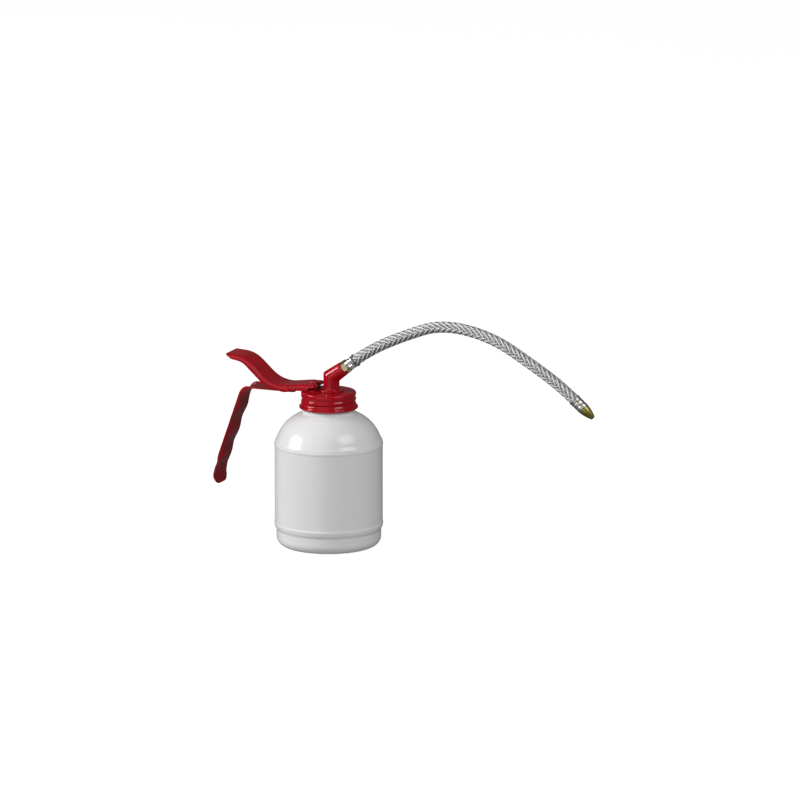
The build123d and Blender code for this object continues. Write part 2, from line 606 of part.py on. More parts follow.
def make_handle():
    width = 2 * GRIP_TOE_HALF_W
    strip = Pos(0, width / 2, 0) * extrude(Plane.XZ * strip_outline(), width)
    toe_z = grip_point(GRIP_TOE_S)[1]
    flare_z = grip_point(LIP_END_S)[1]
    plan = Polyline(
        (-STRIP_HALF_W, 2 * STRIP_TOP_Z), (-STRIP_HALF_W, flare_z), (-GRIP_TOE_HALF_W, toe_z),
        (-GRIP_TOE_HALF_W, toe_z - 2 * GRIP_TOE_LENGTH), (GRIP_TOE_HALF_W, toe_z - 2 * GRIP_TOE_LENGTH),
        (GRIP_TOE_HALF_W, toe_z), (STRIP_HALF_W, flare_z), (STRIP_HALF_W, 2 * STRIP_TOP_Z), close=True,
    )
    reach = 2 * abs(GRIP_CORNER_X)
    strip &= Pos(-reach, 0, 0) * extrude(Plane.YZ * make_face(plan), reach)
    toe_edges = strip.edges().filter_by(lambda edge: edge.center().Z < toe_z - 0.5 * GRIP_TOE_LENGTH)
    toe_corners = [edge for edge in toe_edges if abs(edge.length - STRIP_T) < 0.05]
    strip = fillet(toe_corners, GRIP_TOE_CORNER_R)
    ear_z = STRIP_LOW_MID_Z - STRIP_T / 2
    for side in (-1, 1):
        y_outer = side * STRIP_HALF_W
        y_lip = side * (STRIP_HALF_W - LIP_W)
        strip += slab(lip_outline(), min(y_outer, y_lip), max(y_outer, y_lip))
        y_ear = side * (STRIP_HALF_W - EAR_T)
        ear_plane = Plane(origin=(PIVOT_X, min(y_outer, y_ear), PIVOT_Z), z_dir=(0, 1, 0))
        ear = barrel(ear_plane, EAR_R, 0, EAR_T)
        ear += Pos(PIVOT_X, (y_outer + y_ear) / 2, (ear_z + PIVOT_Z) / 2) * Box(
            2 * EAR_R, EAR_T, PIVOT_Z - ear_z
        )
        strip += ear
        strip -= barrel(ear_plane, PIVOT_PIN_R, 0, EAR_T)
        strip -= disc(RIVET_R, STRIP_Z, STRIP_TOP_Z, RIVET_X, side * RIVET_Y)
    return strip - disc(GLAND_SPIGOT_R, STRIP_Z, STRIP_TOP_Z, PUMP_X)


def make_handle_rivets():
    rivets = []
    for side in (-1, 1):
        y = side * RIVET_Y
        rivet = disc(RIVET_R, LID_UNDER_Z, STRIP_TOP_Z, RIVET_X, y)
        head = disc(RIVET_HEAD_R, STRIP_TOP_Z, STRIP_TOP_Z + RIVET_HEAD_H, RIVET_X, y)
        rivet += fillet(head.edges().group_by(Axis.Z)[-1], 0.6 * RIVET_HEAD_H)
        rivets.append(rivet + disc(RIVET_TAIL_R, LID_UNDER_Z - RIVET_TAIL_H, LID_UNDER_Z, RIVET_X, y))
    return Compound(children=[rivet.solid() for rivet in rivets])


# ---------------------------------------------------------------- lever
def lever_lines():
    """Top line of the lever's web, and the lower edge of its side walls, in (x, z)."""
    nose_x = PUMP_X + ROD_PAD_FRONT
    top = [(x, LID_TOP_Z + height) for x, height in LEVER_TOP]
    top += [(PUMP_X - ROD_PAD_BACK, ROD_PAD_Z), (nose_x, ROD_PAD_Z)]
    top.append((nose_x + 1.0, ROD_PAD_Z - LEVER_NOSE_DROP))
    edge = [(PUMP_X + 0.6, ROD_PAD_Z - 1.8), (PUMP_X, LID_TOP_Z + LEVER_FOOT_RISE)]
    edge += [(x, LID_TOP_Z + height) for x, height in LEVER_EDGE]
    return FilletPolyline(*top, radius=LEVER_TOP_RADII), FilletPolyline(*edge, radius=LEVER_EDGE_RADII)


def make_lever():
    top, edge = lever_lines()
    side_view = top + Line(top @ 1, edge @ 0) + edge + Line(edge @ 1, top @ 0)
    body = slab(side_view, -LEVER_HALF_W, LEVER_HALF_W)
    rims = [
        rim for rim in body.edges().filter_by(lambda e: abs(abs(e.center().Y) - LEVER_HALF_W) < 0.01)
        if top.distance_to(Vector(rim.center().X, rim.center().Z, 0)) < 0.01
    ]
    body = fillet(rims, LEVER_EDGE_R)
    inner_top = offset(top, LEVER_T, side=Side.RIGHT, closed=False)
    start = inner_top @ 0
    end = inner_top @ 1
    room = 5 * LEVER_T
    floor_z = LID_TOP_Z - 5 * room
    below = Polyline(
        (end.X, end.Y), (end.X + room, end.Y - room), (end.X + room, floor_z), (start.X - room, floor_z),
        (start.X - room, start.Y), (start.X, start.Y),
    )
    body -= slab(inner_top + below, -LEVER_INNER_HALF_W, LEVER_INNER_HALF_W)
    pin_plane = Plane(origin=(PIVOT_X, -LEVER_HALF_W, PIVOT_Z), z_dir=(0, 1, 0))
    body -= barrel(pin_plane, PIVOT_PIN_R + RUN_GAP, 0, 2 * LEVER_HALF_W)
    slot_l = 2 * ROD_PAD_FRONT
    slot_h = 4 * LEVER_NOSE_DROP
    slot = Pos(PUMP_X + slot_l / 2, 0, ROD_PAD_Z) * Box(slot_l, 2 * ROD_SLOT_HALF_W, slot_h)
    slot += disc(ROD_SLOT_HALF_W, ROD_PAD_Z - slot_h / 2, ROD_PAD_Z + slot_h / 2, PUMP_X)
    return body - slot


def make_pivot_rivets():
    rivets = []
    for side in (-1, 1):
        outward = Plane(
            origin=(PIVOT_X, side * (STRIP_HALF_W - EAR_T), PIVOT_Z), x_dir=(1, 0, 0), z_dir=(0, side, 0)
        )
        head_at = LEVER_HALF_W - STRIP_HALF_W + EAR_T + PIVOT_HEAD_GAP
        shank = barrel(outward, PIVOT_PIN_R, 0, head_at)
        head = barrel(outward, PIVOT_HEAD_R, head_at, head_at + PIVOT_HEAD_H)
        crown = head.edges().filter_by(GeomType.CIRCLE).sort_by(lambda e: abs(e.center().Y))[-1]
        rivets.append(shank + fillet(crown, 0.6 * PIVOT_HEAD_H))
    return Compound(children=[rivet.solid() for rivet in rivets])


# ---------------------------------------------------------------- spout
def make_hose_nipple():
    nipple = MOUTH_PLANE * hexagon(NIPPLE_AF, NIPPLE_HEX_L)
    nipple += barrel(MOUTH_PLANE, NIPPLE_STUB_R, -NIPPLE_STUB_L, 0)
    tail_end = NIPPLE_HEX_L + NIPPLE_TAIL_L
    nipple += barrel(MOUTH_PLANE, LINER_IN_R, NIPPLE_HEX_L, tail_end)
    return nipple - barrel(MOUTH_PLANE, NIPPLE_BORE_R, -NIPPLE_STUB_L, tail_end)


def make_crimp_ferrule():
    end = FERRULE_START + FERRULE_L
    rim = end - FERRULE_RIM_L
    sleeve = MOUTH_PLANE * Pos(0, 0, FERRULE_START) * hexagon(2 * FERRULE_R, FERRULE_L - FERRULE_RIM_L)
    sleeve &= barrel(MOUTH_PLANE, 1.06 * FERRULE_R, FERRULE_START, rim)
    sleeve += barrel(MOUTH_PLANE, FERRULE_R, rim, end, FERRULE_RIM_R)
    return sleeve - barrel(MOUTH_PLANE, LINER_OUT_R, FERRULE_START, end)


def route_points():
    """Corners of the spout's route, from the crimp ferrule's mouth to the end ferrule."""
    middle = [Vector(x, 0, z) for x, z in HOSE_ROUTE]
    first = [HOSE_START, HOSE_START + BARREL_DIR * HOSE_LEAD]
    return [*first, *middle, END_POINT - END_DIR * HOSE_TAIL, END_POINT]


def tube_along(points, radii, outer_r, inner_r):
    path = FilletPolyline(*points, radius=radii)
    section = Plane(origin=path @ 0, z_dir=path % 0) * (Circle(outer_r) - Circle(inner_r))
    tube = sweep(section, path)
    expected = math.pi * (outer_r**2 - inner_r**2) * path.length
    print(f"tube length {path.length:.1f} volume {tube.volume:.0f} against {expected:.0f}")
    return tube


def make_hose_liner():
    points = route_points()
    radii = corner_radii(points)
    points[0] = points[0] - BARREL_DIR * (FERRULE_L - FERRULE_GAP)
    points[-1] = points[-1] + END_DIR * (END_FERRULE_L - FERRULE_GAP)
    return tube_along(points, radii, LINER_OUT_R, LINER_IN_R)


def make_hose_braid():
    points = route_points()
    radii = corner_radii(points)
    print("arc radii", [round(radius, 1) for radius in radii])
    return tube_along(points, radii, HOSE_R, LINER_OUT_R)


def make_end_ferrule():
    sleeve = barrel(END_PLANE, END_FERRULE_R, 0, END_FERRULE_L)
    sleeve += barrel(END_PLANE, END_FERRULE_LIP_R, 0, END_FERRULE_LIP_L)
    return sleeve - barrel(END_PLANE, LINER_OUT_R, 0, END_FERRULE_L)


def make_nozzle_tip():
    low = END_FERRULE_L
    high = END_FERRULE_L + NOZZLE_L
    ogive = (
        Polyline((0, low), (NOZZLE_BASE_R, low))
        + ThreePointArc(
            (NOZZLE_BASE_R, low), (0.83 * NOZZLE_BASE_R, low + 0.5 * NOZZLE_L), (NOZZLE_TIP_R, high - 0.6)
        )
        + Polyline((NOZZLE_TIP_R, high - 0.6), (NOZZLE_TIP_R - 0.5, high), (0, high), (0, low))
    )
    nozzle = END_PLANE * turned(ogive)
    nozzle += barrel(END_PLANE, LINER_IN_R, low - NIPPLE_TAIL_L, low)
    return nozzle - barrel(END_PLANE, NOZZLE_BORE_R, low - NIPPLE_TAIL_L, high)


# ---------------------------------------------------------------- all nodes
PIECES = {
    "bottle": make_bottle,
    "lid_gasket": make_lid_gasket,
    "screw_lid": make_screw_lid,
    "pump_body": make_pump_body,
    "pump_cylinder": make_pump_cylinder,
    "gland_nut": make_gland_nut,
    "rod_seal": make_rod_seal,
    "piston_rod": make_piston_rod,
    "piston": make_piston,
    "cup_seal": make_cup_seal,
    "cup_washer": make_cup_washer,
    "piston_nut": make_piston_nut,
    "return_spring": make_return_spring,
    "inlet_valve_body": make_inlet_valve_body,
    "inlet_ball": make_inlet_ball,
    "ball_stop_pin": make_ball_stop_pin,
    "suction_tube": make_suction_tube,
    "outlet_elbow": make_outlet_elbow,
    "elbow_seal": make_elbow_seal,
    "outlet_ball": make_outlet_ball,
    "outlet_spring": make_outlet_spring,
    "handle": make_handle,
    "handle_rivets": make_handle_rivets,
    "lever": make_lever,
    "pivot_rivets": make_pivot_rivets,
    "hose_nipple": make_hose_nipple,
    "crimp_ferrule": make_crimp_ferrule,
    "hose_liner": make_hose_liner,
    "hose_braid": make_hose_braid,
    "end_ferrule": make_end_ferrule,
    "nozzle_tip": make_nozzle_tip,
}

os.makedirs("parts", exist_ok=True)
for node, make in PIECES.items():
    export_step(make(), f"parts/{node}.step")
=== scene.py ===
"""Looks of a hand lever oil can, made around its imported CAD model, and laid out as a Blender add-on.

Sizes in this file are millimetres, and become metres where a mesh is made. +Z is up, and +X points
towards the spout's nozzle.
"""
import math

import bmesh
import bpy
from bpy.props import FloatProperty, FloatVectorProperty, IntProperty, PointerProperty
from mathutils import Matrix, Vector


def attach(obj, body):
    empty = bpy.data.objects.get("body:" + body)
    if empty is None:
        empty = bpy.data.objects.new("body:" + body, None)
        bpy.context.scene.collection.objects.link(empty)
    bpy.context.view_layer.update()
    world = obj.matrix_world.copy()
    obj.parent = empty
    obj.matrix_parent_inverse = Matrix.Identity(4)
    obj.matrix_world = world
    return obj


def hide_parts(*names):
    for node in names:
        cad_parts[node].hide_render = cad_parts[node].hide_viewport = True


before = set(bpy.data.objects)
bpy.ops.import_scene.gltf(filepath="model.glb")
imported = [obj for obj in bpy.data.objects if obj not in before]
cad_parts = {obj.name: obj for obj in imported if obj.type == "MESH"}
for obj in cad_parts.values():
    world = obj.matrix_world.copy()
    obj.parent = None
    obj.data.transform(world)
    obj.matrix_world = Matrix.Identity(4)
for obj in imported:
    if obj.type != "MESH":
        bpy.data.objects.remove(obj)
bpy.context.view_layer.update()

bl_info = {
    "name": "Lever Oil Can",
    "version": (1, 0, 0),
    "blender": (4, 5, 0),
    "location": "View3D > Sidebar > Oil Can",
    "description": "Builds a hand lever oil can with a braided spout around its CAD model",
    "category": "Add Mesh",
}

MM = 0.001
PREFIX = "oil_can_"     # keeps these finishes apart from the CAD model's own materials

# bottle
BODY_R = 43.2
HEEL_R = 41.9
HEEL_TOP_Z = 13.5
BODY_FOOT_Z = 16.0
BODY_TOP_Z = 85.0
SHOULDER_FOOT = (41.5, 88.0)
SHOULDER_TOP_Z = 107.8
SHOULDER_ARC_R = 32.0
BOTTLE_WALL = 1.3
BEAD_ZS = (18.4, 82.6)
BEAD_PROUD = 0.4
NECK_BASE_R = 21.2
NECK_BASE_TOP_Z = 110.6
NECK_ROOT_R = 20.3
NECK_BORE_R = 18.6
NECK_TOP_Z = 123.2
THREAD_DEPTH = 0.8
THREAD_PITCH = 4.0
NECK_THREAD_Z = 115.3
NECK_THREAD_TURNS = 1.6
NECK_THREAD_HALF_W = 1.1
BASE_DISH = ((0, 1.6), (24, 1.1), (30, 0))
HEEL_FILLET_R = 7.5
BEAD_HALF_H = 2.1
BEAD_ROW = 0.3
SEAM_HALF_W = 0.7
SEAM_PROUD = 0.05

# lid
LID_TOP_Z = 125.5
LID_SHEET = 0.6
LID_R = 22.0
LID_EDGE_R = 1.5
LID_CURL_Z = 112.9
LID_CURL_R = 1.2
LID_CURL_OUT_R = 23.6
LID_THREAD_Z = 113.3
LID_THREAD_START = 0.62
LID_THREAD_TURNS = 2.2
LID_THREAD_HALF_W = 1.6
LID_SKIRT_LOW_Z = 114.9
LID_ROWS = 56

# pump, rod and elbow
PUMP_X = -13.0
OUTLET_X = 2.5
ROD_HOLE_R = 3.0
ROD_HEAD_Z = (131.0, 131.2)
RIVET_X = -14.0
RIVET_Y = 8.0
RIVET_R = 1.2
ELBOW_R = 6.45
ELBOW_MOUTH_R = 5.65
ELBOW_CORNER_Z = 137.2
ELBOW_DEG = 36.0
ELBOW_BARREL_L = 13.7
ELBOW_FLANGE_R = 10.0
ELBOW_FLANGE_H = 1.5
ELBOW_SPIGOT_R = 4.0
ELBOW_SEAL_R = 6.6
ELBOW_SEAL_H = 0.8
OUTLET_SEAT_Z = 116.6
OUTLET_CHAMBER_R = 2.7
OUTLET_CHAMBER_TOP_Z = 131.0

# handle
STRIP_T = 1.2
STRIP_HALF_W = 10.7
STRIP_MID_Z = 126.1
STRIP_LOW_Z = 124.6
STRIP_FRONT_X = -8.2
STRIP_STEP_X = -23.4
GRIP_CORNER_X = -69.3
GRIP_BEND_R = 9.0
GRIP_LEAN_DEG = 19.5
WAVE_FIRST = 18.7
WAVE_PITCH = 21.4
GRIP_TOE_S = 78.5
GRIP_TOE_L = 8.2
GRIP_TOE_TURN_DEG = 35.0
GRIP_TOE_HALF_W = 12.4
GRIP_TOE_CORNER_R = 8.0
LIP_H = 1.7
LIP_W = 1.0
LIP_FRONT_X = -50.5
LIP_END_S = 66.0
WAVE_DEPTH = 0.55
STRIP_EDGE_R = 0.35
EAR_R = 1.9
EAR_FOOT_Z = 124.8
EAR_INNER_Y = 9.5
# span of the grip, out along -X and down along Z, whose enamel carries painted shade
PAINTED_SHADE_GRIP_X = (68, 76)
PAINTED_SHADE_GRIP_Z = (116, 126)

# lever
PIVOT_X = -31.0
PIVOT_Z = 126.3
LEVER_T = 1.0
LEVER_HALF_W = 12.0
LEVER_BEND_R = 1.9
LEVER_FLAT_Y = 6.0
LEVER_SLOT_R = 1.8
LEVER_SLOT_END_X = -5.0
LEVER_TOP = ((-84.6, 151.1), (-67.9, 150.1), (-43.5, 127.8), (-18.0, 131.2), (-9.0, 131.2), (-8.0, 128.8))
LEVER_TOP_RADII = (24.0, 26.0, 24.0, 1.2)
LEVER_EDGE = (
    (-83.4, 149.6), (-79.6, 147.0), (-70.2, 145.5), (-50.0, 127.0), (-33.5, 123.5), (-24.0, 125.9),
    (-13.0, 125.9), (-12.4, 129.4), (-9.2, 128.9),
)
LEVER_EDGE_RADII = (2.5, 14.0, 20.0, 12.0, 8.0, 1.6, 0.3)
LEVER_KNOTS = ((-84.6, -83.4), (-67.9, -68.6), (-43.5, -45.5), (-24.0, -24.0), (-13.4, -13.4), (-12.2, -12.0))

# spout
NIPPLE_AF = 9.6
NIPPLE_HEX_L = 4.6
NIPPLE_STUB_L = 6.0
NIPPLE_STUB_R = 3.0
NIPPLE_TAIL_L = 8.0
NIPPLE_TAIL_R = 2.2
NIPPLE_BORE_R = 1.2
FERRULE_GAP = 0.3
FERRULE_L = 7.5
FERRULE_R = 4.7
FERRULE_RIM_R = 5.5
FERRULE_RIM_L = 1.6
LINER_R = 3.6
HOSE_R = 4.5
HOSE_ROUTE = (
    (23.615, 152.541), (37.369, 162.534), (65.0, 175.6), (98.0, 187.8), (140.0, 181.0), (175.0, 161.0),
    (198.326, 146.363), (210.2, 136.4),
)
HOSE_END_DEG = -40.0
CORE_R = 3.78
BRAID_FLOOR_R = HOSE_R - 0.45
BRAID_MID_R = HOSE_R - 0.4
BRAID_SHEET = 0.12
BRAID_PHASE = 0.273
WIRE_HEIGHT = 0.22
END_FERRULE_L = 11.0
END_FERRULE_R = 4.7
END_FERRULE_LIP_R = 5.0
END_FERRULE_LIP_L = 1.2
NOZZLE_L = 10.5
NOZZLE_BASE_R = 4.4
NOZZLE_TIP_R = 1.9
NOZZLE_BORE_R = 0.9

# stage
FLOOR_REACH = 6.0
FLOOR_GLOW = 0.86
LAMP_DISTANCE = 2.5
LAMP_AIM = (0, 0, 0.1)
SENSOR_WIDTH = 36.0
VIEW_RIGHT = 0.0569
VIEW_UP = 0.1151


# ---------------------------------------------------------------- settings
class OilCanColours(bpy.types.PropertyGroup):
    """Colours of the can's finishes."""

    paint: FloatVectorProperty(
        name="Enamel", description="Red enamel on lid, lever, handle and elbow", subtype="COLOR",
        default=(0.38, 0.0015, 0.009), min=0, max=1,
    )
    plastic: FloatVectorProperty(
        name="Bottle", description="Natural plastic of the bottle", subtype="COLOR",
        default=(0.85, 0.855, 0.855), min=0, max=1,
    )
    nipple: FloatVectorProperty(
        name="Nipple", description="Yellow passivated zinc of the hexagon nipple", subtype="COLOR",
        default=(0.97, 0.90, 0.62), min=0, max=1,
    )
    steel: FloatVectorProperty(
        name="Ferrules", description="Bright plated steel of the two ferrules", subtype="COLOR",
        default=(0.72, 0.72, 0.70), min=0, max=1,
    )
    braid: FloatVectorProperty(
        name="Braid", description="Galvanised wire of the braid", subtype="COLOR",
        default=(0.66, 0.665, 0.67), min=0, max=1,
    )
    brass: FloatVectorProperty(
        name="Nozzle", description="Brass of the nozzle", subtype="COLOR",
        default=(0.45, 0.38, 0.09), min=0, max=1,
    )


class OilCanBraid(bpy.types.PropertyGroup):
    """Sizes of the wire braid."""

    bands: IntProperty(name="Bands", description="Wire bands each way round", default=8, min=4, max=16)
    floats: IntProperty(
        name="Floats", description="Bands that one band passes over at a time", default=4, min=1,
    )
    wires: IntProperty(name="Wires", description="Wires side by side in one band", default=3, min=1, max=8)
    lay: FloatProperty(
        name="Lay", description="Length in which one band goes once round", default=40 * MM, min=10 * MM,
        unit="LENGTH",
    )
    band_width: FloatProperty(
        name="Band Width", description="Width of one band round the hose", default=2.75 * MM, min=0.5 * MM,
        unit="LENGTH",
    )
    weave: FloatProperty(
        name="Weave", description="How far a band rises over another one, from the middle layer",
        default=0.2 * MM, min=0, unit="LENGTH",
    )


class OilCanStage(bpy.types.PropertyGroup):
    """Camera and light."""

    azimuth: FloatProperty(
        name="Azimuth", description="Camera's turn towards the spout's side", default=math.radians(22.7),
        unit="ROTATION",
    )
    elevation: FloatProperty(
        name="Elevation", description="Camera's height above level", default=math.radians(12.5),
        unit="ROTATION",
    )
    lens: FloatProperty(name="Lens", description="Focal length", default=400, min=20, unit="CAMERA")
    view_width: FloatProperty(
        name="View Width", description="Width of the view at the bottle", default=0.64, min=0.1,
        unit="LENGTH",
    )
    key_power: FloatProperty(name="Key", description="Power of the left softbox", default=42, unit="POWER")
    side_power: FloatProperty(name="Side", description="Power of the right softbox", default=19, unit="POWER")
    top_power: FloatProperty(
        name="Front", description="Power of the wide front softbox", default=15, unit="POWER",
    )
    sky: FloatProperty(name="Sky", description="Brightness of the room's even light", default=0.26, min=0)


# ---------------------------------------------------------------- shader writing
class Signal:
    """A socket's value, on which Python's own arithmetic adds Math nodes."""

    def __init__(self, writer, socket):
        self.writer = writer
        self.socket = socket

    def math(self, operation, *values):
        return self.writer.node("ShaderNodeMath", {"operation": operation}, values)

    def other(self, output):
        """Another output of the same node."""
        return Signal(self.writer, self.socket.node.outputs[output])

    def __add__(self, other):
        return self.math("ADD", self, other)

    def __sub__(self, other):
        return self.math("SUBTRACT", self, other)

    def __rsub__(self, other):
        return self.math("SUBTRACT", other, self)

    def __mul__(self, other):
        return self.math("MULTIPLY", self, other)

    def __truediv__(self, other):
        return self.math("DIVIDE", self, other)

    __radd__ = __add__
    __rmul__ = __mul__

    def step(self, low, high):
        """Smooth mask from 0 at low to 1 at high."""
        return self.writer.node(
            "ShaderNodeMapRange", {"interpolation_type": "SMOOTHSTEP", "clamp": True}, [self, low, high]
        )


class Writer:
    """Writes nodes into a tree. Every node comes from node()."""

    def __init__(self, tree):
        self.tree = tree

    def node(self, kind, settings=None, values=(), output=0):
        node = self.tree.nodes.new(kind)
        for name, value in (settings or {}).items():
            setattr(node, name, value)
        pairs = values.items() if isinstance(values, dict) else enumerate(values)
        for key, value in pairs:
            if isinstance(value, Signal):
                self.tree.links.new(value.socket, node.inputs[key])
            elif value is not None:
                node.inputs[key].default_value = value
        return None if output is None else Signal(self, node.outputs[output])

    def vector(self, operation, *values, output=0):
        return self.node("ShaderNodeVectorMath", {"operation": operation}, values, output)


class Paint(Writer):
    """One material while it is being made."""

    def __init__(self, name):
        self.material = bpy.data.materials.new(PREFIX + name)
        self.material.use_nodes = True
        super().__init__(self.material.node_tree)
        self.tree.nodes.clear()
        self.place = self.node("ShaderNodeTexCoord", output="Object")

    def noise(self, scale, detail=2.0, roughness=0.5, stretch=None):
        """Noise over the piece. scale is in cells per metre, and stretch squeezes its axes."""
        place = self.place
        if stretch:
            place = self.node("ShaderNodeMapping", None, {"Vector": place, "Scale": stretch})
        values = {"Vector": place, "Scale": scale, "Detail": detail, "Roughness": roughness}
        return self.node("ShaderNodeTexNoise", None, values)

    def along(self, direction):
        """Distance along a direction, in metres."""
        return self.vector("DOT_PRODUCT", self.place, direction, output="Value")

    def mix(self, factor, first, second):
        """Colour between two colours."""
        colours = [colour if isinstance(colour, Signal) else (*colour, 1) for colour in (first, second)]
        values = {0: factor, 6: colours[0], 7: colours[1]}
        return self.node("ShaderNodeMix", {"data_type": "RGBA"}, values, 2)

    def bump(self, height, depth, under=None, strength=1.0):
        """Bump of a height map from 0 to 1, that many metres deep."""
        values = {"Strength": strength, "Distance": depth, "Height": height, "Normal": under}
        return self.node("ShaderNodeBump", None, values)

    def surface(self, **sockets):
        """Ends the material with a Principled surface, and gives the material."""
        names = {name.replace("_", " "): value for name, value in sockets.items()}
        if not isinstance(names["Base Color"], Signal):
            names["Base Color"] = (*names["Base Color"], 1)
        shader = self.node("ShaderNodeBsdfPrincipled", None, names)
        self.node("ShaderNodeOutputMaterial", None, {"Surface": shader}, None)
        return self.material


def shade(colour, factor):
    return tuple(min(1.0, channel * factor) for channel in colour)


def red_enamel():
    """Thick gloss enamel: slight orange peel, thinner and darker in places, dust nibs, and painted shade on
    the grip below its bend.
    """
    paint = Paint("red_enamel")
    colour = tuple(bpy.context.scene.oil_can_colours.paint)
    cloud = paint.noise(60, 3).step(0.35, 0.7)
    nibs = paint.noise(2600, 1).step(0.72, 0.8)
    # Painted shade: the grip beyond the bend and below its top is darkened to about half the enamel's
    # brightness.
    outward = paint.along((-1, 0, 0)).step(*[x * MM for x in PAINTED_SHADE_GRIP_X])
    painted_grip_shade = outward * (1 - paint.along((0, 0, 1)).step(*[z * MM for z in PAINTED_SHADE_GRIP_Z]))
    base = paint.mix(cloud, shade(colour, 0.86), shade(colour, 1.06))
    base = paint.mix(painted_grip_shade * 0.55, base, shade(colour, 0.2))
    base = paint.mix(nibs * 0.35, base, (0.5, 0.12, 0.11))
    peel = paint.noise(420, 2, 0.4)
    ripple = paint.noise(90, 1)
    normal = paint.bump(nibs, 0.00001, paint.bump(peel * 0.5 + ripple * 0.5, 0.000006, None, 0.4), 0.3)
    roughness = 0.1 + paint.noise(150, 3).step(0.3, 0.8) * 0.04 + nibs * 0.1
    return paint.surface(
        Base_Color=base, Roughness=roughness, Normal=normal, IOR=1.45, Specular_IOR_Level=0.4,
        Coat_Roughness=0.06,
    )


def milky_plastic():
    """Natural polyethylene: milky, faint flow clouds, fine mould grain and a few scuffs."""
    paint = Paint("milky_plastic")
    colour = tuple(bpy.context.scene.oil_can_colours.plastic)
    cloud = paint.noise(24, 3, 0.5, (1, 1, 0.35)).step(0.25, 0.75)
    scuff = paint.noise(600, 4, 0.6).step(0.66, 0.82)
    base = paint.mix(cloud, shade(colour, 0.965), colour)
    base = paint.mix(scuff * 0.15, base, shade(colour, 0.92))
    grain = paint.noise(2400, 2)
    wall = paint.noise(38, 2, 0.4, (1, 1, 0.5))
    normal = paint.bump(grain, 0.00001, paint.bump(wall, 0.0002, None, 0.3), 0.5)
    roughness = 0.2 + cloud * 0.05 + scuff * 0.08
    return paint.surface(
        Base_Color=base, Roughness=roughness, Normal=normal, IOR=1.51, Subsurface_Weight=0.35,
        Subsurface_Radius=(1.0, 1.0, 1.0), Subsurface_Scale=0.006,
    )


def plated_metal(name, colour, tint, roughness, direction, lines=0.00001):
    """Turned, plated metal: colour drift between two tints, tool lines along a direction, handling marks."""
    paint = Paint(name)
    drift = paint.noise(160, 3).step(0.35, 0.68)
    base = paint.mix(drift, colour, tint)
    marks = paint.noise(900, 3, 0.6).step(0.6, 0.75)
    base = paint.mix(marks * 0.3, base, shade(colour, 0.6))
    position = paint.along(direction)
    turning = paint.node("ShaderNodeTexNoise", {"noise_dimensions": "1D"}, {"W": position, "Scale": 5200.0})
    normal = paint.bump(turning, lines, paint.bump(marks, 0.00001, None, 0.4), 0.5)
    rough = roughness + drift * 0.08 + marks * 0.12
    return paint.surface(Base_Color=base, Roughness=rough, Metallic=1.0, Normal=normal)


def braid_wire(colour, wires):
    """Flat bands of round galvanised wires, with painted shade in the valleys between ridges and a painted
    highlight on each band's middle wire.
    """
    paint = Paint("braid_wire")
    run = paint.node("ShaderNodeUVMap", {"uv_map": "wires"})
    split = paint.node("ShaderNodeSeparateXYZ", None, [run], "X")
    place = split * (wires * math.pi)
    ridge = place.math("ABSOLUTE", place.math("SINE", place))
    # Painted highlight: the middle wire of each band is given a brighter, less metallic, smoother finish that
    # stands in for the wires' glint.
    painted_wire_highlight = split.step(0.36, 0.42) * (1 - split.step(0.58, 0.64))
    stain = paint.noise(500, 3).step(0.4, 0.8)
    # Painted shade: the valleys between the wire ridges are mixed most of the way to near black.
    painted_valley_shade = 1 - ridge.step(0.05, 0.5)
    base = paint.mix(painted_wire_highlight, shade(colour, 0.62), shade(colour, 1.5))
    base = paint.mix(stain * 0.3, base, shade(colour, 0.5))
    base = paint.mix(painted_valley_shade * 0.7, base, (0.03, 0.03, 0.03))
    normal = paint.bump(paint.noise(3000, 2), 0.000004, None, 0.5)
    rough = 0.45 + stain * 0.12 - painted_wire_highlight * 0.1
    return paint.surface(Base_Color=base, Roughness=rough, Metallic=1 - painted_wire_highlight * 0.9, Normal=normal)


def soft_part(name, colour, tint, roughness, grain_scale, depth):
    """Rubber, leather or moulded plastic inside the can: mottled, with a grain."""
    paint = Paint(name)
    mottle = paint.noise(grain_scale * 0.2, 3).step(0.3, 0.75)
    grain = paint.noise(grain_scale, 4, 0.6)
    base = paint.mix(mottle, colour, tint)
    normal = paint.bump(grain, depth, None, 0.6)
    return paint.surface(Base_Color=base, Roughness=roughness + grain * 0.2, Normal=normal)


def rod_finish():
    """Bright ground rod, whose head wears the same enamel as the lever."""
    paint = Paint("rod_finish")
    colour = tuple(bpy.context.scene.oil_can_colours.paint)
    head = paint.along((0, 0, 1)).step(*[z * MM for z in ROD_HEAD_Z])
    drift = paint.noise(200, 3)
    steel = paint.mix(drift, (0.62, 0.62, 0.62), (0.74, 0.74, 0.73))
    enamel = paint.mix(drift, shade(colour, 0.85), shade(colour, 1.1))
    base = paint.mix(head, steel, enamel)
    grinding = paint.noise(500, 2, 0.5, (1, 1, 14))
    normal = paint.bump(grinding, 0.00001, None, 0.4)
    return paint.surface(
        Base_Color=base, Roughness=0.2 + drift * 0.1, Metallic=1 - head, Normal=normal,
        Coat_Weight=head * 0.5, Coat_Roughness=0.06,
    )


def material(name, make, *arguments):
    """The named material, made the first time that it is asked for."""
    return bpy.data.materials.get(PREFIX + name) or make(*arguments)


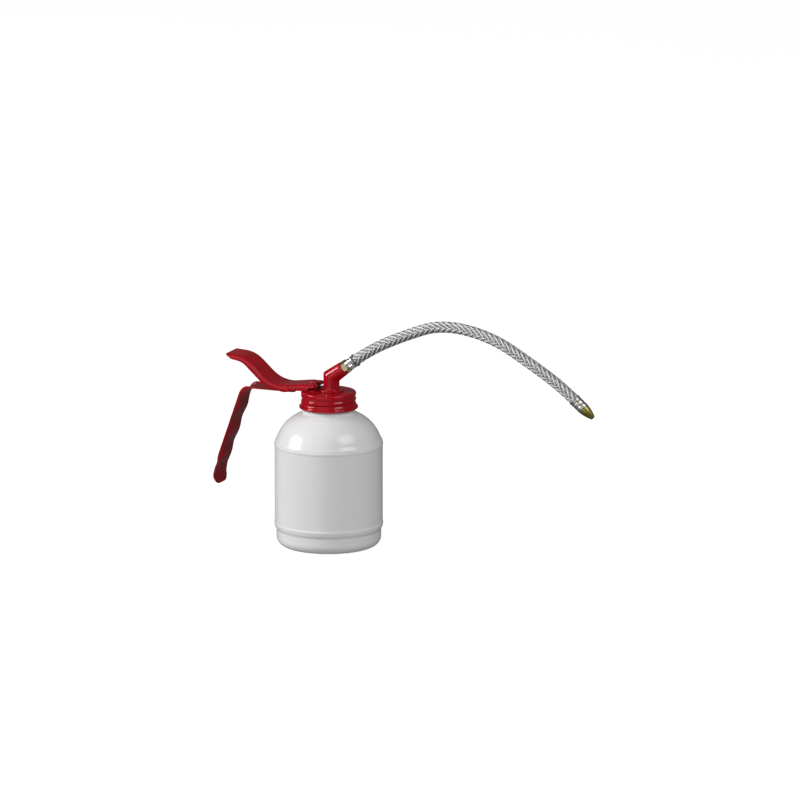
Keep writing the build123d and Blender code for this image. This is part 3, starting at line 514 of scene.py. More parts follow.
# ---------------------------------------------------------------- mesh writing
def rounded(points, radii, step_deg=6.0):
    """Polyline with its inner corners rounded, one radius for each."""
    line = [Vector(points[0])]
    for before, corner, after, radius in zip(points, points[1:], points[2:], radii):
        before, corner, after = Vector(before), Vector(corner), Vector(after)
        way_in = (corner - before).normalized()
        way_out = (after - corner).normalized()
        turn = way_in.angle_signed(way_out)
        if abs(turn) < 1e-4 or radius <= 0:
            line.append(corner)
            continue
        reach = radius * math.tan(abs(turn) / 2)
        start = corner - way_in * reach
        side = Vector((way_in.y, -way_in.x)) * math.copysign(1, turn)
        centre = start + side * radius
        count = max(2, math.ceil(math.degrees(abs(turn)) / step_deg))
        for index in range(count + 1):
            line.append(centre + Matrix.Rotation(-turn * index / count, 2) @ (start - centre))
    line.append(Vector(points[-1]))
    return line


def lengths(line):
    """Running length at each point of a line."""
    total = [0.0]
    for first, second in zip(line, line[1:]):
        total.append(total[-1] + (second - first).length)
    return total


def at_length(line, running, length):
    """Point of a line at a running length."""
    for index in range(1, len(line)):
        if length <= running[index] or index == len(line) - 1:
            span = running[index] - running[index - 1]
            part = (length - running[index - 1]) / span if span else 0.0
            return line[index - 1].lerp(line[index], min(max(part, 0.0), 1.0))


def smoothstep(low, high, value):
    part = min(max((value - low) / (high - low), 0.0), 1.0)
    return part * part * (3 - 2 * part)


def rings_mesh(rings, ends=True):
    """Skin over rings of the same count of points, in millimetres. A ring of one point is a pointed end."""
    mesh = bmesh.new()
    rows = [[mesh.verts.new(Vector(point) * MM) for point in ring] for ring in rings]
    for first, second in zip(rows, rows[1:]):
        count = max(len(first), len(second))
        for index in range(count):
            after = (index + 1) % count
            corners = []
            for row, column in ((first, index), (first, after), (second, after), (second, index)):
                vertex = row[column % len(row)]
                if vertex not in corners:
                    corners.append(vertex)
            if len(corners) > 2:
                mesh.faces.new(corners)
    for row in (rows[0], rows[-1]) if ends else ():
        if len(row) > 2:
            mesh.faces.new(row)
    bmesh.ops.recalc_face_normals(mesh, faces=mesh.faces)
    return mesh


def turned_rings(outline, segments, radius_at=None, centre=(0, 0)):
    """Rings of a turned shape. radius_at(radius, height, angle) may change it round the axis."""
    rings = []
    for radius, height in outline:
        if radius < 1e-6:
            rings.append([(centre[0], centre[1], height)])
            continue
        ring = []
        for index in range(segments):
            angle = 2 * math.pi * index / segments
            reach = radius_at(radius, height, angle) if radius_at else radius
            ring.append((centre[0] + reach * math.cos(angle), centre[1] + reach * math.sin(angle), height))
        rings.append(ring)
    return rings


def moved(rings, matrix):
    return [[matrix @ Vector(point) for point in ring] for ring in rings]


def lying_on(origin, direction):
    """Matrix whose Z runs along a direction in the can's middle plane."""
    along = Vector(direction).normalized()
    across = Vector((0, 1, 0))
    up = along.cross(across)
    return Matrix.Translation(Vector(origin)) @ Matrix((across, -up, along)).transposed().to_4x4()


def extruded(outline, y_low, y_high):
    """Plate with an (x, z) outline between two widths."""
    return rings_mesh([[(x, y, z) for x, z in outline] for y in (y_low, y_high)])


def extruded_disc(radius, low, high, x, y):
    outline = [(0, low), (radius, low), (radius, high), (0, high)]
    return rings_mesh(turned_rings(outline, 48, None, (x, y)), ends=False)


def closed_tube(rings, origin, direction):
    """Turned rings laid along a direction, with the last one joined to the first."""
    mesh = rings_mesh(moved([*rings, rings[0]], lying_on(origin, direction)), ends=False)
    bmesh.ops.remove_doubles(mesh, verts=mesh.verts, dist=1e-7)
    return mesh


def mesh_data(name, shape):
    """Mesh of a bmesh, which is used up."""
    data = bpy.data.meshes.new(name)
    shape.to_mesh(data)
    shape.free()
    return data


def link_object(name, data):
    made = bpy.data.objects.new(name, data)
    bpy.context.scene.collection.objects.link(made)
    return made


def finish_mesh(data, finish, sharp_deg):
    data.materials.clear()
    data.materials.append(finish)
    data.shade_smooth()
    data.set_sharp_from_angle(angle=math.radians(sharp_deg))


def add_piece(name, meshes, finish, body, node, sharp_deg=35.0, bevel=None, cuts=()):
    """Makes one object of one or more meshes, finishes its edges, parents it to its body's empty and hides
    the CAD node that it replaces.
    """
    whole = bmesh.new()
    for part in meshes:
        data = mesh_data(name, part)
        whole.from_mesh(data)
        bpy.data.meshes.remove(data)
    piece = link_object(name, mesh_data(name, whole))
    cutters = [link_object(f"{name}_cut", mesh_data(f"{name}_cut", cut)) for cut in cuts]
    for cutter in cutters:
        boolean = piece.modifiers.new("cut", "BOOLEAN")
        boolean.operation = "DIFFERENCE"
        boolean.solver = "EXACT"
        boolean.object = cutter
    if bevel:
        rim = piece.modifiers.new("rim", "BEVEL")
        rim.width = bevel * MM
        rim.segments = 3
        rim.limit_method = "ANGLE"
        rim.angle_limit = math.radians(40)
    if piece.modifiers:
        plain_mesh(piece)
    for cutter in cutters:
        bpy.data.objects.remove(cutter)
    finish_mesh(piece.data, finish, sharp_deg)
    settle(piece, body, [node])


def plain_mesh(piece):
    """Turns an object's live modifiers into its own mesh."""
    bpy.context.view_layer.update()
    evaluated = piece.evaluated_get(bpy.context.evaluated_depsgraph_get())
    data = bpy.data.meshes.new_from_object(evaluated)
    piece.modifiers.clear()
    piece.data = data
    return piece


def settle(piece, body, nodes):
    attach(piece, body)
    if nodes:
        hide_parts(*nodes)


class Builder:
    """What every operator here shares. Each one builds, or raises an error."""

    bl_options = {"REGISTER", "UNDO"}

    def execute(self, context):
        self.build(context)
        return {"FINISHED"}


def enamel():
    return material("red_enamel", red_enamel)


# ---------------------------------------------------------------- bottle and lid
def thread_ridge(height, angle, base, first, last, half_width):
    """How much of a helical thread stands at a place, from 0 to 1. It runs from turn first to last."""
    ridge = 0.0
    for turn in (0, 1, 2):
        along = angle / (2 * math.pi) + turn
        offset = abs(height - base - along * THREAD_PITCH) / half_width
        if offset < 1:
            ends = smoothstep(first, first + 0.1, along) * (1 - smoothstep(last - 0.1, last, along))
            ridge = max(ridge, ends * (0.5 + 0.5 * math.cos(math.pi * offset)))
    return ridge


def shoulder_arc(foot, top, radius, count=14):
    """Arc of the dome between two (radius, height) points, bulging outwards."""
    foot, top = Vector(foot), Vector(top)
    middle = (foot + top) / 2
    half = (top - foot).length / 2
    across = Vector((-(top - foot).y, (top - foot).x)).normalized()
    centre = middle + across * math.sqrt(radius**2 - half**2)
    start = foot - centre
    turn = start.angle_signed(top - centre)
    return [centre + Matrix.Rotation(-turn * index / count, 2) @ start for index in range(count + 1)]


class OILCAN_OT_bottle(Builder, bpy.types.Operator):
    """Blow moulded bottle with two beads, a domed shoulder and a screw neck"""

    bl_idname = "oil_can.bottle"
    bl_label = "Bottle"

    def outline(self, inset):
        foot = (SHOULDER_FOOT[0] - inset, SHOULDER_FOOT[1])
        heel = HEEL_R - inset
        wall = BODY_R - inset
        points = [(radius, height + inset) for radius, height in (*BASE_DISH, (heel, 0))]
        points += [(heel, HEEL_TOP_Z), (wall, BODY_FOOT_Z), (wall, BODY_TOP_Z)]
        points += [foot, (foot[0] - 0.4, foot[1] + 1.6)]
        radii = (4.0, 3.0, HEEL_FILLET_R - inset, 1.0, 1.6, 2.0, 1.0)
        return rounded(points, radii)[:-1]

    def build(self, context):
        outer = self.outline(0)
        body = []
        for first, second in zip(outer, outer[1:]):
            count = max(1, round((second - first).length / 1.5)) if second.x > HEEL_R else 1
            body += [first.lerp(second, index / count) for index in range(count)]
        bead_rows = [Vector((BODY_R, z + BEAD_ROW * k)) for z in BEAD_ZS for k in range(-7, 8)]
        plain = [point for point in body if not any(abs(point.y - z) < BEAD_HALF_H + 0.1 for z in BEAD_ZS)]
        outer = sorted(plain + bead_rows, key=lambda point: (point.y if point.x > 41 else 0))
        low = [point for point in body if point.y < 12]
        rest = [point for point in outer if point.y >= 12]
        arc = shoulder_arc(SHOULDER_FOOT, (NECK_BASE_R, SHOULDER_TOP_Z), SHOULDER_ARC_R)
        neck = rounded(
            [(NECK_BASE_R, SHOULDER_TOP_Z), (NECK_BASE_R, NECK_BASE_TOP_Z), (NECK_ROOT_R, NECK_BASE_TOP_Z),
             (NECK_ROOT_R, NECK_BASE_TOP_Z + 1)], (0.4, 0.3),
        )[1:]
        rows = 60
        neck += [
            Vector((NECK_ROOT_R, NECK_BASE_TOP_Z + 1 + (NECK_TOP_Z - NECK_BASE_TOP_Z - 1.4) * k / rows))
            for k in range(1, rows + 1)
        ]
        lip = rounded(
            [(NECK_ROOT_R, NECK_TOP_Z - 0.4), (NECK_ROOT_R, NECK_TOP_Z), (NECK_BORE_R, NECK_TOP_Z),
             (NECK_BORE_R, SHOULDER_TOP_Z - BOTTLE_WALL)], (0.3, 0.3), 20,
        )[1:]
        inner_foot = (SHOULDER_FOOT[0] - BOTTLE_WALL, SHOULDER_FOOT[1])
        inner_arc = shoulder_arc(
            inner_foot, (NECK_BORE_R, SHOULDER_TOP_Z - BOTTLE_WALL), SHOULDER_ARC_R - BOTTLE_WALL
        )
        inside = list(reversed(inner_arc))[1:] + list(reversed(self.outline(BOTTLE_WALL)))[1:]
        outline = low + rest + arc[1:] + neck + lip + inside
        mesh = rings_mesh(turned_rings(outline, 180, self.radius_at), ends=False)
        plastic = material("milky_plastic", milky_plastic)
        add_piece("bottle_shell", [mesh], plastic, "bottle", "bottle", 50)

    def radius_at(self, radius, height, angle):
        for z in BEAD_ZS:
            offset = abs(height - z) / BEAD_HALF_H
            if offset < 1 and radius > BODY_R - 0.5:
                radius += BEAD_PROUD * (0.5 + 0.5 * math.cos(math.pi * offset))
        if abs(radius - NECK_ROOT_R) < 0.05 and height > NECK_BASE_TOP_Z:
            turns = (NECK_THREAD_Z, 0, NECK_THREAD_TURNS, NECK_THREAD_HALF_W)
            radius += THREAD_DEPTH * thread_ridge(height, angle, *turns)
        seam = abs(math.sin(angle)) * radius
        if radius > NECK_BASE_R and height > 2 and seam < SEAM_HALF_W:
            radius += SEAM_PROUD * (1 - seam / SEAM_HALF_W)
        return radius


class OILCAN_OT_lid(Builder, bpy.types.Operator):
    """Pressed lid: flat top, skirt rolled to the neck's thread, flared and curled rim"""

    bl_idname = "oil_can.lid"
    bl_label = "Screw Lid"

    def build(self, context):
        skirt_low = LID_SKIRT_LOW_Z
        inner_r = LID_R - LID_SHEET
        curl = Vector((LID_CURL_OUT_R - LID_CURL_R, LID_CURL_Z))
        corner = [(0, LID_TOP_Z), (LID_R, LID_TOP_Z), (LID_R, LID_TOP_Z - 4)]
        top = rounded(corner, (LID_EDGE_R,), 9)[:-1]
        top.insert(1, Vector((12, LID_TOP_Z)))
        start = top[-1].y
        fall = [(skirt_low - start) * k / LID_ROWS for k in range(1, LID_ROWS + 1)]
        skirt = [Vector((LID_R, start + drop)) for drop in fall]
        flare = [Vector((LID_R + 0.05, skirt_low - 0.3)), Vector((LID_R + 0.3, skirt_low - 0.75))]
        bead = [curl + Vector((math.cos(a), math.sin(a))) * LID_CURL_R
                for a in [math.radians(100 - 15 * k) for k in range(19)]]
        inside_low = [Vector((inner_r + 0.1, LID_CURL_Z + 0.3)), Vector((inner_r, skirt_low - 0.4))]
        inside = [
            Vector((inner_r, skirt_low + (start - skirt_low) * k / LID_ROWS)) for k in range(LID_ROWS + 1)
        ]
        under = LID_TOP_Z - LID_SHEET
        roof = rounded([(inner_r, start), (inner_r, under), (0, under)], (0.9,), 15)[1:]
        roof.insert(-1, Vector((12, under)))
        outline = top + skirt + flare + bead + inside_low + inside + roof
        mesh = rings_mesh(turned_rings(outline, 216, self.radius_at), ends=False)
        holes = top_holes(LID_TOP_Z - 4, LID_TOP_Z + 4, [(ELBOW_SPIGOT_R, OUTLET_X, 0)])
        add_piece("lid_shell", [mesh], enamel(), "head", "screw_lid", 40, None, holes)

    def radius_at(self, radius, height, angle):
        skirt = min(abs(radius - LID_R), abs(radius - LID_R + LID_SHEET))
        if skirt > 0.02 or height > LID_TOP_Z - 0.7:
            return radius
        turns = (LID_THREAD_Z, LID_THREAD_START, LID_THREAD_TURNS, LID_THREAD_HALF_W)
        return radius - THREAD_DEPTH * thread_ridge(height, angle, *turns)**0.7


def top_holes(low, high, more=()):
    """Cutters for the rod's hole and the two rivets, through the lid or the handle."""
    places = (*more, (ROD_HOLE_R, PUMP_X, 0), (RIVET_R, RIVET_X, RIVET_Y), (RIVET_R, RIVET_X, -RIVET_Y))
    return [extruded_disc(radius, low, high, x, y) for radius, x, y in places]


# ---------------------------------------------------------------- handle and lever
class OILCAN_OT_handle(Builder, bpy.types.Operator):
    """Strip from the lid's top over to the wavy finger grip, with raised side lips"""

    bl_idname = "oil_can.handle"
    bl_label = "Handle"

    def build(self, context):
        lean = math.radians(GRIP_LEAN_DEG)
        down = Vector((-math.sin(lean), -math.cos(lean)))
        corner = Vector((GRIP_CORNER_X, STRIP_LOW_Z))
        toe = corner + down * GRIP_TOE_S
        heading = math.radians(270 - GRIP_LEAN_DEG + GRIP_TOE_TURN_DEG)
        tip = toe + Vector((math.cos(heading), math.sin(heading))) * GRIP_TOE_L
        points = [(STRIP_FRONT_X, STRIP_MID_Z), (STRIP_STEP_X, STRIP_MID_Z),
                  (STRIP_STEP_X - 2.4, STRIP_LOW_Z), corner, toe, tip]
        line = rounded(points, (1.5, 1.5, GRIP_BEND_R, 9.0), 3)
        running = lengths(line)
        total = running[-1]
        lip_start = next(run for point, run in zip(line, running) if point.x < LIP_FRONT_X)
        corner_at = STRIP_FRONT_X - GRIP_CORNER_X - 0.6
        stations = [total * k / 190 for k in range(190)]
        stations += [total - 1.0, total - 0.5, total - 0.2, total - 0.05, total]
        rings = []
        for along in sorted(stations):
            point = at_length(line, running, along)
            behind, ahead = (at_length(line, running, along + step) for step in (-0.4, 0.4))
            heading = (ahead - behind).normalized()
            outward = Vector((heading.y, -heading.x))
            grip = along - corner_at
            wave = -WAVE_DEPTH * math.cos(2 * math.pi * (grip - WAVE_FIRST) / WAVE_PITCH)
            wave *= smoothstep(1, 9, grip) * (1 - smoothstep(70, 77, grip))
            lip = smoothstep(lip_start - 1, lip_start + 6, along)
            lip *= 1 - smoothstep(LIP_END_S - 5, LIP_END_S + 4, grip)
            half = STRIP_HALF_W + (GRIP_TOE_HALF_W - STRIP_HALF_W) * smoothstep(60, 80, grip)
            left = total - along
            if left < GRIP_TOE_CORNER_R:
                rest = GRIP_TOE_CORNER_R - left
                half += math.sqrt(max(GRIP_TOE_CORNER_R**2 - rest**2, 0)) - GRIP_TOE_CORNER_R
            rings.append([
                (point.x + outward.x * out, across, point.y + outward.y * out)
                for across, out in self.section(half, wave, lip)
            ])
        strip = rings_mesh(rings)
        ear = [(PIVOT_X - EAR_R, EAR_FOOT_Z), (PIVOT_X + EAR_R, EAR_FOOT_Z)]
        ear += [(PIVOT_X + EAR_R * math.cos(a), PIVOT_Z + EAR_R * math.sin(a))
                for a in [math.pi * k / 12 for k in range(13)]]
        ears = [extruded(ear, -STRIP_HALF_W, -EAR_INNER_Y), extruded(ear, EAR_INNER_Y, STRIP_HALF_W)]
        holes = top_holes(124, 129)
        add_piece("handle_strip", [strip, *ears], enamel(), "head", "handle", 40, None, holes)

    def section(self, half, wave, lip):
        """Loop of (across, out) points: flat strip, with lips that rise to a straight edge."""
        low = wave - STRIP_T / 2
        high = wave + STRIP_T / 2
        top = high + lip * (STRIP_T / 2 + LIP_H - high)
        rise = max(top - high, 0)
        soft = STRIP_EDGE_R
        inner = half - LIP_W
        bend = min(1.1, 0.9 * rise)
        corner, last = (1.0, 1.4) if rise > 0.8 else (soft, 1.5)
        side = [(0, low), (0.6 * half, low)]
        side += [(half - corner + corner * math.sin(a), low + corner - corner * math.cos(a))
                 for a in (0, 0.5, 1.0, last)]
        side += [(half - soft + soft * math.cos(a), top - soft + soft * math.sin(a))
                 for a in (0.0, 0.5, 1.0, 1.5)]
        side += [(inner + soft * 0.8, top), (inner, top - min(0.3, 0.3 * rise))]
        side += [(inner - bend + bend * math.cos(a), high + bend - bend * math.sin(a))
                 for a in (0.1, 0.6, 1.1, 1.55)]
        side += [(0.6 * half, high), (0, high)]
        mirror = [(-across, out) for across, out in reversed(side[1:-1])]
        return side + mirror


class OILCAN_OT_lever(Builder, bpy.types.Operator):
    """Thumb lever: a pressed channel whose side walls run out towards the thumb end"""

    bl_idname = "oil_can.lever"
    bl_label = "Lever"

    def build(self, context):
        top = rounded(LEVER_TOP, LEVER_TOP_RADII, 4)
        edge = rounded(LEVER_EDGE, LEVER_EDGE_RADII, 8)
        top_run, edge_run = lengths(top), lengths(edge)
        knots = [(self.run_at(top, top_run, a), self.run_at(edge, edge_run, b)) for a, b in LEVER_KNOTS]
        knots.append((top_run[-1], edge_run[-1]))
        rings = []
        for (top_a, edge_a), (top_b, edge_b) in zip(knots, knots[1:]):
            count = max(4, round((top_b - top_a) / 0.8))
            for index in range(count + (top_b == knots[-1][0])):
                part = index / count
                crest = at_length(top, top_run, top_a + (top_b - top_a) * part)
                foot = at_length(edge, edge_run, edge_a + (edge_b - edge_a) * part)
                depth = (foot - crest).length
                down = (foot - crest) / depth
                rings.append([
                    (crest.x + down.x * drop, across, crest.y + down.y * drop)
                    for across, drop in self.section(depth)
                ])
        slot = [(PUMP_X + LEVER_SLOT_R * math.cos(a), LEVER_SLOT_R * math.sin(a)) for a in
                [math.pi / 2 + math.pi * k / 12 for k in range(13)]]
        slot = [(LEVER_SLOT_END_X, LEVER_SLOT_R), *slot, (LEVER_SLOT_END_X, -LEVER_SLOT_R)]
        cutter = rings_mesh([[(x, y, z) for x, y in slot] for z in (126.0, 134.0)])
        skin = rings_mesh(rings)
        add_piece("thumb_lever", [skin], enamel(), "lever", "lever", 42, 0.22, [cutter])

    def run_at(self, line, running, x):
        for index in range(1, len(line)):
            if line[index].x >= x:
                before, after = line[index - 1], line[index]
                part = (x - before.x) / (after.x - before.x) if after.x != before.x else 0
                return running[index - 1] + (running[index] - running[index - 1]) * max(part, 0)
        return running[-1]

    def section(self, depth):
        """Loop of (across, drop) points of the channel: outer skin, then inner skin."""
        bend = LEVER_BEND_R
        inner = bend - LEVER_T
        angles = [math.pi / 2 * k / 6 for k in range(7)]
        outer_side = [(LEVER_HALF_W, depth)]
        outer_side += [
            (LEVER_HALF_W - bend + bend * math.cos(a), min(bend - bend * math.sin(a), depth)) for a in angles
        ]
        inner_w = LEVER_HALF_W - LEVER_T
        floor = max(depth, LEVER_T + 0.05)
        inner_side = [
            (inner_w - inner + inner * math.cos(a), min(bend - inner * math.sin(a), floor))
            for a in reversed(angles)
        ]
        inner_side.append((inner_w, floor))
        flat = LEVER_FLAT_Y
        right = outer_side + [(flat, 0), (0, 0)]
        left = [(-across, drop) for across, drop in reversed(outer_side + [(flat, 0)])]
        under = [(-across, drop) for across, drop in reversed([(flat, LEVER_T)] + inner_side)]
        return right + left + under + [(0, LEVER_T), (flat, LEVER_T)] + inner_side


# ---------------------------------------------------------------- elbow and fittings
ELBOW_CORNER = Vector((OUTLET_X, 0, ELBOW_CORNER_Z))
BARREL_DIR = Vector((math.cos(math.radians(ELBOW_DEG)), 0, math.sin(math.radians(ELBOW_DEG))))
MOUTH = ELBOW_CORNER + BARREL_DIR * ELBOW_BARREL_L
END_DIR = Vector((math.cos(math.radians(HOSE_END_DEG)), 0, math.sin(math.radians(HOSE_END_DEG))))
END_POINT = Vector((HOSE_ROUTE[-1][0], 0, HOSE_ROUTE[-1][1]))


class OILCAN_OT_elbow(Builder, bpy.types.Operator):
    """Die cast outlet elbow: round foot, post, mitred corner and tapering barrel"""

    bl_idname = "oil_can.elbow"
    bl_label = "Outlet Elbow"

    def build(self, context):
        segments = 72
        flange_top = LID_TOP_Z + ELBOW_FLANGE_H
        seal_top = LID_TOP_Z + ELBOW_SEAL_H
        foot = [(0, OUTLET_CHAMBER_TOP_Z), (OUTLET_CHAMBER_R, OUTLET_CHAMBER_TOP_Z),
                (OUTLET_CHAMBER_R, OUTLET_SEAT_Z), (ELBOW_SPIGOT_R, OUTLET_SEAT_Z),
                (ELBOW_SPIGOT_R, seal_top), (ELBOW_SEAL_R, seal_top), (ELBOW_SEAL_R, LID_TOP_Z),
                (ELBOW_FLANGE_R, LID_TOP_Z)]
        flange = rounded(
            [(ELBOW_FLANGE_R, LID_TOP_Z), (ELBOW_FLANGE_R, flange_top), (ELBOW_R, flange_top),
             (ELBOW_R, flange_top + 3)], (0.6, 0.9), 15,
        )[1:]
        rings = turned_rings(foot + [tuple(point) for point in flange], segments, None, (OUTLET_X, 0))
        mitre = (BARREL_DIR - Vector((0, 0, -1))).normalized()
        frame_along = lying_on(ELBOW_CORNER, BARREL_DIR)
        slope = (ELBOW_R - ELBOW_MOUTH_R) / ELBOW_BARREL_L
        base_z = flange[-1].y
        angles = [2 * math.pi * k / segments for k in range(segments)]
        corner_ring = []
        for angle in angles:
            x, y = ELBOW_R * math.cos(angle), ELBOW_R * math.sin(angle)
            corner_ring.append(ELBOW_CORNER + Vector((x, y, -(mitre.x * x) / mitre.z)))
        for part in (0.3, 0.6, 0.8, 0.92, 1.0):
            rings.append([Vector((p.x, p.y, base_z + (p.z - base_z) * part)) for p in corner_ring])
        to_axis = frame_along.inverted()
        local = [to_axis @ point for point in corner_ring]
        for part in (0.08, 0.2, 0.4, 0.6, 0.8):
            ring = []
            for point in local:
                height = point.z + (ELBOW_BARREL_L - point.z) * part
                start = Vector((point.x, point.y))
                flat = start.normalized() * (ELBOW_MOUTH_R + slope * (ELBOW_BARREL_L - height))
                flat = start.lerp(flat, min(1.0, part * 5))
                ring.append(frame_along @ Vector((flat.x, flat.y, height)))
            rings.append(ring)
        around = [math.atan2(point.y, point.x) for point in local]
        length = ELBOW_BARREL_L
        mouth = ((ELBOW_MOUTH_R, length - 0.3), (ELBOW_MOUTH_R - 0.08, length - 0.08),
                 (ELBOW_MOUTH_R - 0.3, length), (NIPPLE_STUB_R, length),
                 (NIPPLE_STUB_R, length - NIPPLE_STUB_L))
        for radius, height in mouth:
            ring = [Vector((radius * math.cos(a), radius * math.sin(a), height)) for a in around]
            rings.append([frame_along @ point for point in ring])
        rings.append([frame_along @ Vector((0, 0, length - NIPPLE_STUB_L))])
        mesh = rings_mesh(rings, ends=False)
        add_piece("elbow_casting", [mesh], enamel(), "head", "outlet_elbow", 32, 0.35)


def hexagon_radius(across_flats, corner_r):
    """radius_at function of a hexagon whose corners are turned down to a radius."""
    def radius_at(radius, height, angle):
        flat = across_flats / 2 / math.cos((angle + math.pi / 6) % (math.pi / 3) - math.pi / 6)
        return min(radius, flat, corner_r)
    return radius_at


class OILCAN_OT_fittings(Builder, bpy.types.Operator):
    """Hexagon nipple, crimp ferrule, end ferrule and nozzle"""

    bl_idname = "oil_can.fittings"
    bl_label = "Spout Fittings"

    def build(self, context):
        colours = context.scene.oil_can_colours
        steel, brass = tuple(colours.steel), tuple(colours.brass)
        barrel, tip = tuple(BARREL_DIR), tuple(END_DIR)
        fittings = (
            (self.nipple, "yellow_zinc", tuple(colours.nipple), (0.70, 0.68, 0.40), 0.18, barrel),
            (self.crimp, "bright_ferrule", steel, shade(steel, 0.82), 0.2, barrel),
            (self.end_ferrule, "end_ferrule_steel", shade(steel, 0.8), (0.50, 0.48, 0.42), 0.3, tip),
            (self.nozzle, "nozzle_brass", brass, shade(brass, 0.72), 0.3, tip),
        )
        for make, name, *look in fittings:
            make(material(name, plated_metal, name, *look))

    def nipple(self, finish):
        corner = NIPPLE_AF / math.sqrt(3)
        inside = NIPPLE_AF / 2 - 0.35
        drop = (corner - inside) * 0.5
        hexagon = [(inside, 0), (corner, drop), (corner, NIPPLE_HEX_L - drop), (inside, NIPPLE_HEX_L)]
        rows = []
        for (r1, z1), (r2, z2) in zip(hexagon, hexagon[1:]):
            rows += [(r1 + (r2 - r1) * k / 6, z1 + (z2 - z1) * k / 6) for k in range(6)]
        rows.append(hexagon[-1])
        end = NIPPLE_HEX_L + NIPPLE_TAIL_L
        stub = [(NIPPLE_BORE_R, -NIPPLE_STUB_L), (NIPPLE_STUB_R, -NIPPLE_STUB_L), (NIPPLE_STUB_R, 0)]
        tail = [(NIPPLE_TAIL_R, NIPPLE_HEX_L), (NIPPLE_TAIL_R, end), (NIPPLE_BORE_R, end)]
        rings = turned_rings(stub, 96) + turned_rings(rows, 96, hexagon_radius(NIPPLE_AF, corner))
        mesh = closed_tube(rings + turned_rings(tail, 96), MOUTH, BARREL_DIR)
        add_piece("hexagon_nipple", [mesh], finish, "head", "hose_nipple", 25)

    def crimp(self, finish):
        start = NIPPLE_HEX_L + FERRULE_GAP
        end = start + FERRULE_L
        rim = end - FERRULE_RIM_L
        rows = [(LINER_R, start), (FERRULE_R - 0.4, start), (FERRULE_R + 0.3, start + 0.35)]
        rows += [(FERRULE_R + 0.3, start + 0.35 + (rim - start - 0.35) * k / 22) for k in range(1, 23)]
        rows += [(4.55, rim + 0.15), (4.7, rim + 0.5), (5.05, rim + 1.0), (FERRULE_RIM_R - 0.1, end - 0.35),
                 (FERRULE_RIM_R, end - 0.15), (FERRULE_RIM_R - 0.1, end), (FERRULE_RIM_R - 0.5, end),
                 (4.7, end - 0.3), (LINER_R, end - 0.6)]

        def radius_at(radius, height, angle):
            if not start + 0.3 < height < rim + 0.05:
                return radius
            turn = (angle + math.pi / 6) % (math.pi / 3) - math.pi / 6
            flat = FERRULE_R / math.cos(turn)
            along = (height - start) / (rim - start)
            panel = smoothstep(0.14, 0.24, along) * (1 - smoothstep(0.76, 0.86, along))
            panel *= 1 - smoothstep(0.55, 0.72, abs(turn) / (math.pi / 6))
            return min(radius, flat, 1.06 * FERRULE_R) - 0.28 * panel

        mesh = closed_tube(turned_rings(rows, 144, radius_at), MOUTH, BARREL_DIR)
        add_piece("crimped_ferrule", [mesh], finish, "head", "crimp_ferrule", 25)

    def end_ferrule(self, finish):
        rows = [(LINER_R, 0.2), (4.6, 0), (END_FERRULE_LIP_R - 0.1, 0.05), (END_FERRULE_LIP_R, 0.3),
                (END_FERRULE_LIP_R, END_FERRULE_LIP_L - 0.2), (END_FERRULE_R + 0.05, END_FERRULE_LIP_L + 0.1)]
        for k in range(1, 50):
            z = END_FERRULE_LIP_L + 0.1 + (END_FERRULE_L - END_FERRULE_LIP_L - 0.6) * k / 50
            groove = max(0.0, 1 - abs(z - 4.0) / 0.7) + max(0.0, 1 - abs(z - 7.6) / 0.7)
            rows.append((END_FERRULE_R - 0.3 * smoothstep(0, 1, groove), z))
        rows += [(END_FERRULE_R - 0.05, END_FERRULE_L - 0.25), (END_FERRULE_R - 0.3, END_FERRULE_L),
                 (LINER_R, END_FERRULE_L)]

        def radius_at(radius, height, angle):
            if not 3.2 < height < 8.4 or radius < LINER_R + 0.2:
                return radius
            press = 0.5 + 0.5 * math.cos(8 * angle)
            return radius - 0.12 * press * max(0.0, 1 - abs(height - 5.8) / 2.6)

        mesh = closed_tube(turned_rings(rows, 96, radius_at), END_POINT, END_DIR)
        add_piece("tip_ferrule", [mesh], finish, "head", "end_ferrule", 30)

    def nozzle(self, finish):
        low = END_FERRULE_L
        rows = [(0, low - 6), (2.0, low - 6), (2.0, low), (NOZZLE_BASE_R - 0.25, low),
                (NOZZLE_BASE_R, low + 0.25), (NOZZLE_BASE_R, low + 1.0)]
        reach = NOZZLE_L - 1.0 - 0.6
        for k in range(1, 25):
            part = k / 24
            drop = (NOZZLE_BASE_R - NOZZLE_TIP_R) * (0.45 * part + 0.55 * part**2)
            rows.append((NOZZLE_BASE_R - drop, low + 1.0 + reach * part))
        rows += [(NOZZLE_TIP_R - 0.2, low + NOZZLE_L - 0.3), (NOZZLE_TIP_R - 0.45, low + NOZZLE_L - 0.08),
                 (NOZZLE_BORE_R + 0.2, low + NOZZLE_L), (NOZZLE_BORE_R, low + NOZZLE_L - 0.2),
                 (NOZZLE_BORE_R, low + NOZZLE_L - 5), (0, low + NOZZLE_L - 5)]
        rings = moved(turned_rings(rows, 64), lying_on(END_POINT, END_DIR))
        add_piece("brass_nozzle", [rings_mesh(rings, ends=False)], finish, "head", "nozzle_tip", 30)


# ---------------------------------------------------------------- hose
def route_curve(points, name):
    """Smooth spline over the route's points, in metres, with no thickness."""
    curve = bpy.data.curves.new(name, "CURVE")
    curve.dimensions = "3D"
    curve.resolution_u = 24
    spline = curve.splines.new("NURBS")
    spline.points.add(len(points) - 1)
    for control, (x, z) in zip(spline.points, points):
        control.co = (x * MM, 0, z * MM, 1)
    spline.order_u = 3
    spline.use_endpoint_u = True
    return link_object(name, curve)


